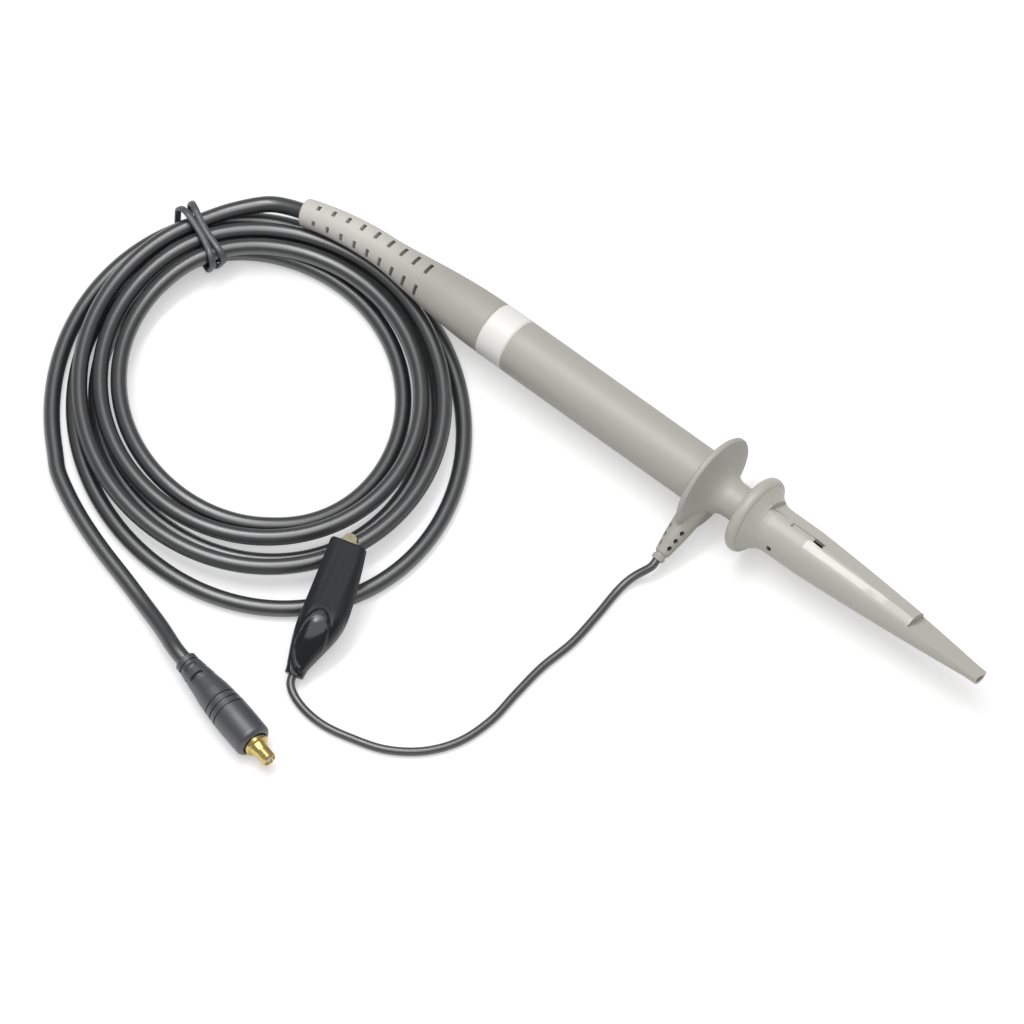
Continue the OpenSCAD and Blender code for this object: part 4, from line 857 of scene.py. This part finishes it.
class FinishOperator(bpy.types.Operator):
    """Gives every CAD node the finish of the real piece"""
    bl_idname = own("finishes")
    bl_label = "Finishes"

    def execute(self, context):
        colours = context.scene.probe_colours
        shell = moulded_abs("moulded_abs_shell", rgba(colours.shell), 0.42, 0.006)
        boot = soft_pvc("soft_pvc_lead_boot", rgba(colours.boot), rgba(colours.boot))
        nickel = turned_metal("nickel_plated_brass", linear("#CFCDC6"), 0.25)
        pressed = pressed_metal("nickel_plated_sheet", linear("#6F6B58"), 0.45, 0.5)
        steel = pressed_metal("spring_steel", linear("#B7B8BA"), 0.3)
        gold = turned_metal("gold_plating", rgba(colours.gold), 0.2, 0.2)
        finishes = {
            "rear_boot": boot, "lead_boot": boot,
            "colour_ring": white_acetal("white_acetal_ring", rgba(colours.ring)),
            "barrel": shell, "finger_guard": shell,
            "hook_sleeve": polished_abs("polished_abs_sleeve", rgba(colours.sleeve)),
            "hook_core": moulded_abs("black_nylon", linear("#3A3B3D"), 0.5, 0.01),
            "shield_tube": nickel, "cable_ferrule": nickel, "ground_sleeve": nickel,
            "contact_ring": nickel, "plug_ferrule": nickel, "hook_socket": nickel,
            "lead_terminal": pressed, "clip_lower_jaw": pressed, "clip_upper_jaw": pressed,
            "clip_rivet": pressed, "clip_spring": steel, "hook_wire": steel, "hook_spring": steel,
            "tip_needle": gold, "plug_shell": gold, "plug_pin": gold,
            "trimmer_rotor": turned_metal("bare_brass", linear("#C9A54E"), 0.3),
            "trimmer_body": fired_ceramic("trimmer_ceramic", linear("#D8D2C0")),
            "nose_insulator": white_acetal("white_ptfe", linear("#E9E6DC")),
            "plug_insulator": white_acetal("white_ptfe_plug", linear("#EDE3D8")),
            "circuit_board": glass_board("fr4_board", linear("#3F7A52")),
            "input_resistor": lacquered_resistor("lacquered_resistor", linear("#7E9CC0"),
                                                 linear("#5A3B24")),
            "signal_wire": vinyl("wire_insulation", linear("#E6E2D8"), 0.4),
        }
        black = bpy.data.materials["satin_overmould"]
        for node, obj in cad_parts.items():
            mat = finishes.get(node, black)
            if not obj.material_slots:
                obj.data.materials.append(mat)
            for slot in obj.material_slots:
                slot.material = mat
        return {"FINISHED"}


FLOOR_LIFT = 0.42


class StageOperator(bpy.types.Operator):
    """Sets the floor, the soft light and the camera"""
    bl_idname = own("stage")
    bl_label = "Stage"

    def execute(self, context):
        self.camera(context)
        self.floor()
        self.light()
        self.world(context)
        return {"FINISHED"}

    def camera(self, context):
        """A long lens, 58.5 degrees up and 39.9 degrees round."""
        lens = bpy.data.cameras.new("camera")
        lens.lens, lens.sensor_width, lens.clip_start, lens.clip_end = 1200, 36, 0.1, 100
        eye = bpy.data.objects.new("camera", lens)
        a, e = math.radians(39.9), math.radians(58.5)
        back = Vector((math.sin(a) * math.cos(e), -math.cos(a) * math.cos(e), math.sin(e)))
        eye.location = Vector((-14.69, -28.97, 0)) * MM + 7.7576 * back
        eye.rotation_euler = (-back).to_track_quat("-Z", "Y").to_euler()
        context.scene.collection.objects.link(eye)
        context.scene.camera = eye

    def seen_straight(self, tree, path):
        """1 for rays from the camera and rays that pass through a piece, else 0."""
        return add(tree, "ShaderNodeMath", {0: path.outputs["Is Camera Ray"],
                                            1: path.outputs["Is Transmission Ray"]},
                   operation="MAXIMUM")

    def floor(self):
        """A flat sheet 8 m wide, just under the lowest point."""
        mesh = bpy.data.meshes.new("floor")
        corners = [(x, y, -2e-5) for x, y in ((-4, -4), (4, -4), (4, 4), (-4, 4))]
        mesh.from_pydata(corners, [], [(0, 1, 2, 3)])
        floor = bpy.data.objects.new("floor", mesh)
        bpy.context.scene.collection.objects.link(floor)
        # White paper: lifted to white for the camera, and by 0.3 of that lift in reflections
        mat = bpy.data.materials.new("white_paper")
        mat.use_nodes = True
        tree = mat.node_tree
        tree.nodes.clear()
        paper = add(tree, "ShaderNodeBsdfDiffuse", {"Color": (0.72, 0.72, 0.72, 1)})
        path = add(tree, "ShaderNodeLightPath")
        seen = self.seen_straight(tree, path)
        seen = add(tree, "ShaderNodeMath", {0: path.outputs["Is Glossy Ray"], 1: 0.3,
                                            2: seen.outputs[0]}, operation="MULTIPLY_ADD")
        lift = add(tree, "ShaderNodeMath", {0: seen.outputs[0], 1: FLOOR_LIFT},
                   operation="MULTIPLY")
        glow = add(tree, "ShaderNodeEmission", {"Color": (1, 1, 1, 1), "Strength": lift.outputs[0]})
        both = add(tree, "ShaderNodeAddShader", {0: paper.outputs[0], 1: glow.outputs[0]})
        add(tree, "ShaderNodeOutputMaterial", {"Surface": both.outputs[0]})
        mesh.materials.append(mat)

    def light(self):
        """A wide soft box overhead, and a brighter strip under it that draws the highlights."""
        for name, across, energy, place in (("soft_box", (2.2, 2.2), 30, (0.1, -0.25, 2.2)),
                                            ("strip_light", (1.5, 0.16), 12, (-0.45, 0.0, 2.1))):
            lamp = bpy.data.lights.new(name, "AREA")
            lamp.shape, lamp.energy = "RECTANGLE", energy
            lamp.size, lamp.size_y = across
            box = bpy.data.objects.new(name, lamp)
            box.location = place
            box.rotation_euler = Vector(place).to_track_quat("Z", "Y").to_euler()
            bpy.context.scene.collection.objects.link(box)

    def world(self, context):
        """Soft white room: strength 1 where the camera sees it, weaker as light."""
        world = bpy.data.worlds.new("white_room")
        world.use_nodes = True
        tree = world.node_tree
        tree.nodes.clear()
        path = add(tree, "ShaderNodeLightPath")
        seen = self.seen_straight(tree, path)
        power = add(tree, "ShaderNodeMapRange", {"Value": seen.outputs[0], "To Min": 0.28,
                                                 "To Max": 1.0})
        sky = add(tree, "ShaderNodeBackground", {"Color": (1, 1, 1, 1),
                                                 "Strength": power.outputs[0]})
        add(tree, "ShaderNodeOutputWorld", {"Surface": sky.outputs[0]})
        context.scene.world = world
        context.scene.view_settings.view_transform = "Standard"


STEPS = (StageOperator, BootOperator, PlugOperator, CoverOperator, CableOperator, LeadOperator,
         TieOperator, FinishOperator)


class ProbePanel(bpy.types.Panel):
    """Lists the probe's pieces, sizes and colours in the sidebar"""
    bl_idname = "VIEW3D_PT_probe"
    bl_label = "Probe"
    bl_space_type = "VIEW_3D"
    bl_region_type = "UI"
    bl_category = "Probe"

    def draw(self, context):
        for group in (context.scene.probe_sizes, context.scene.probe_colours):
            for key in group.bl_rna.properties.keys():
                if key not in ("rna_type", "name"):
                    self.layout.prop(group, key)
        for step in STEPS:
            self.layout.operator(step.bl_idname)


CLASSES = (ProbeSizes, ProbeColours, *STEPS, ProbePanel)


def register():
    for cls in CLASSES:
        bpy.utils.register_class(cls)
    bpy.types.Scene.probe_sizes = PointerProperty(type=ProbeSizes)
    bpy.types.Scene.probe_colours = PointerProperty(type=ProbeColours)


def unregister():
    del bpy.types.Scene.probe_colours
    del bpy.types.Scene.probe_sizes
    for cls in reversed(CLASSES):
        bpy.utils.unregister_class(cls)


def main():
    register()
    bpy.ops.probe.stage()
    bpy.ops.probe.rear_boot()
    bpy.ops.probe.plug()
    bpy.ops.probe.clip_cover()
    bpy.ops.probe.cable()
    bpy.ops.probe.ground_lead()
    bpy.ops.probe.tie()
    bpy.ops.probe.finishes()


if __name__ == "__main__":
    main()
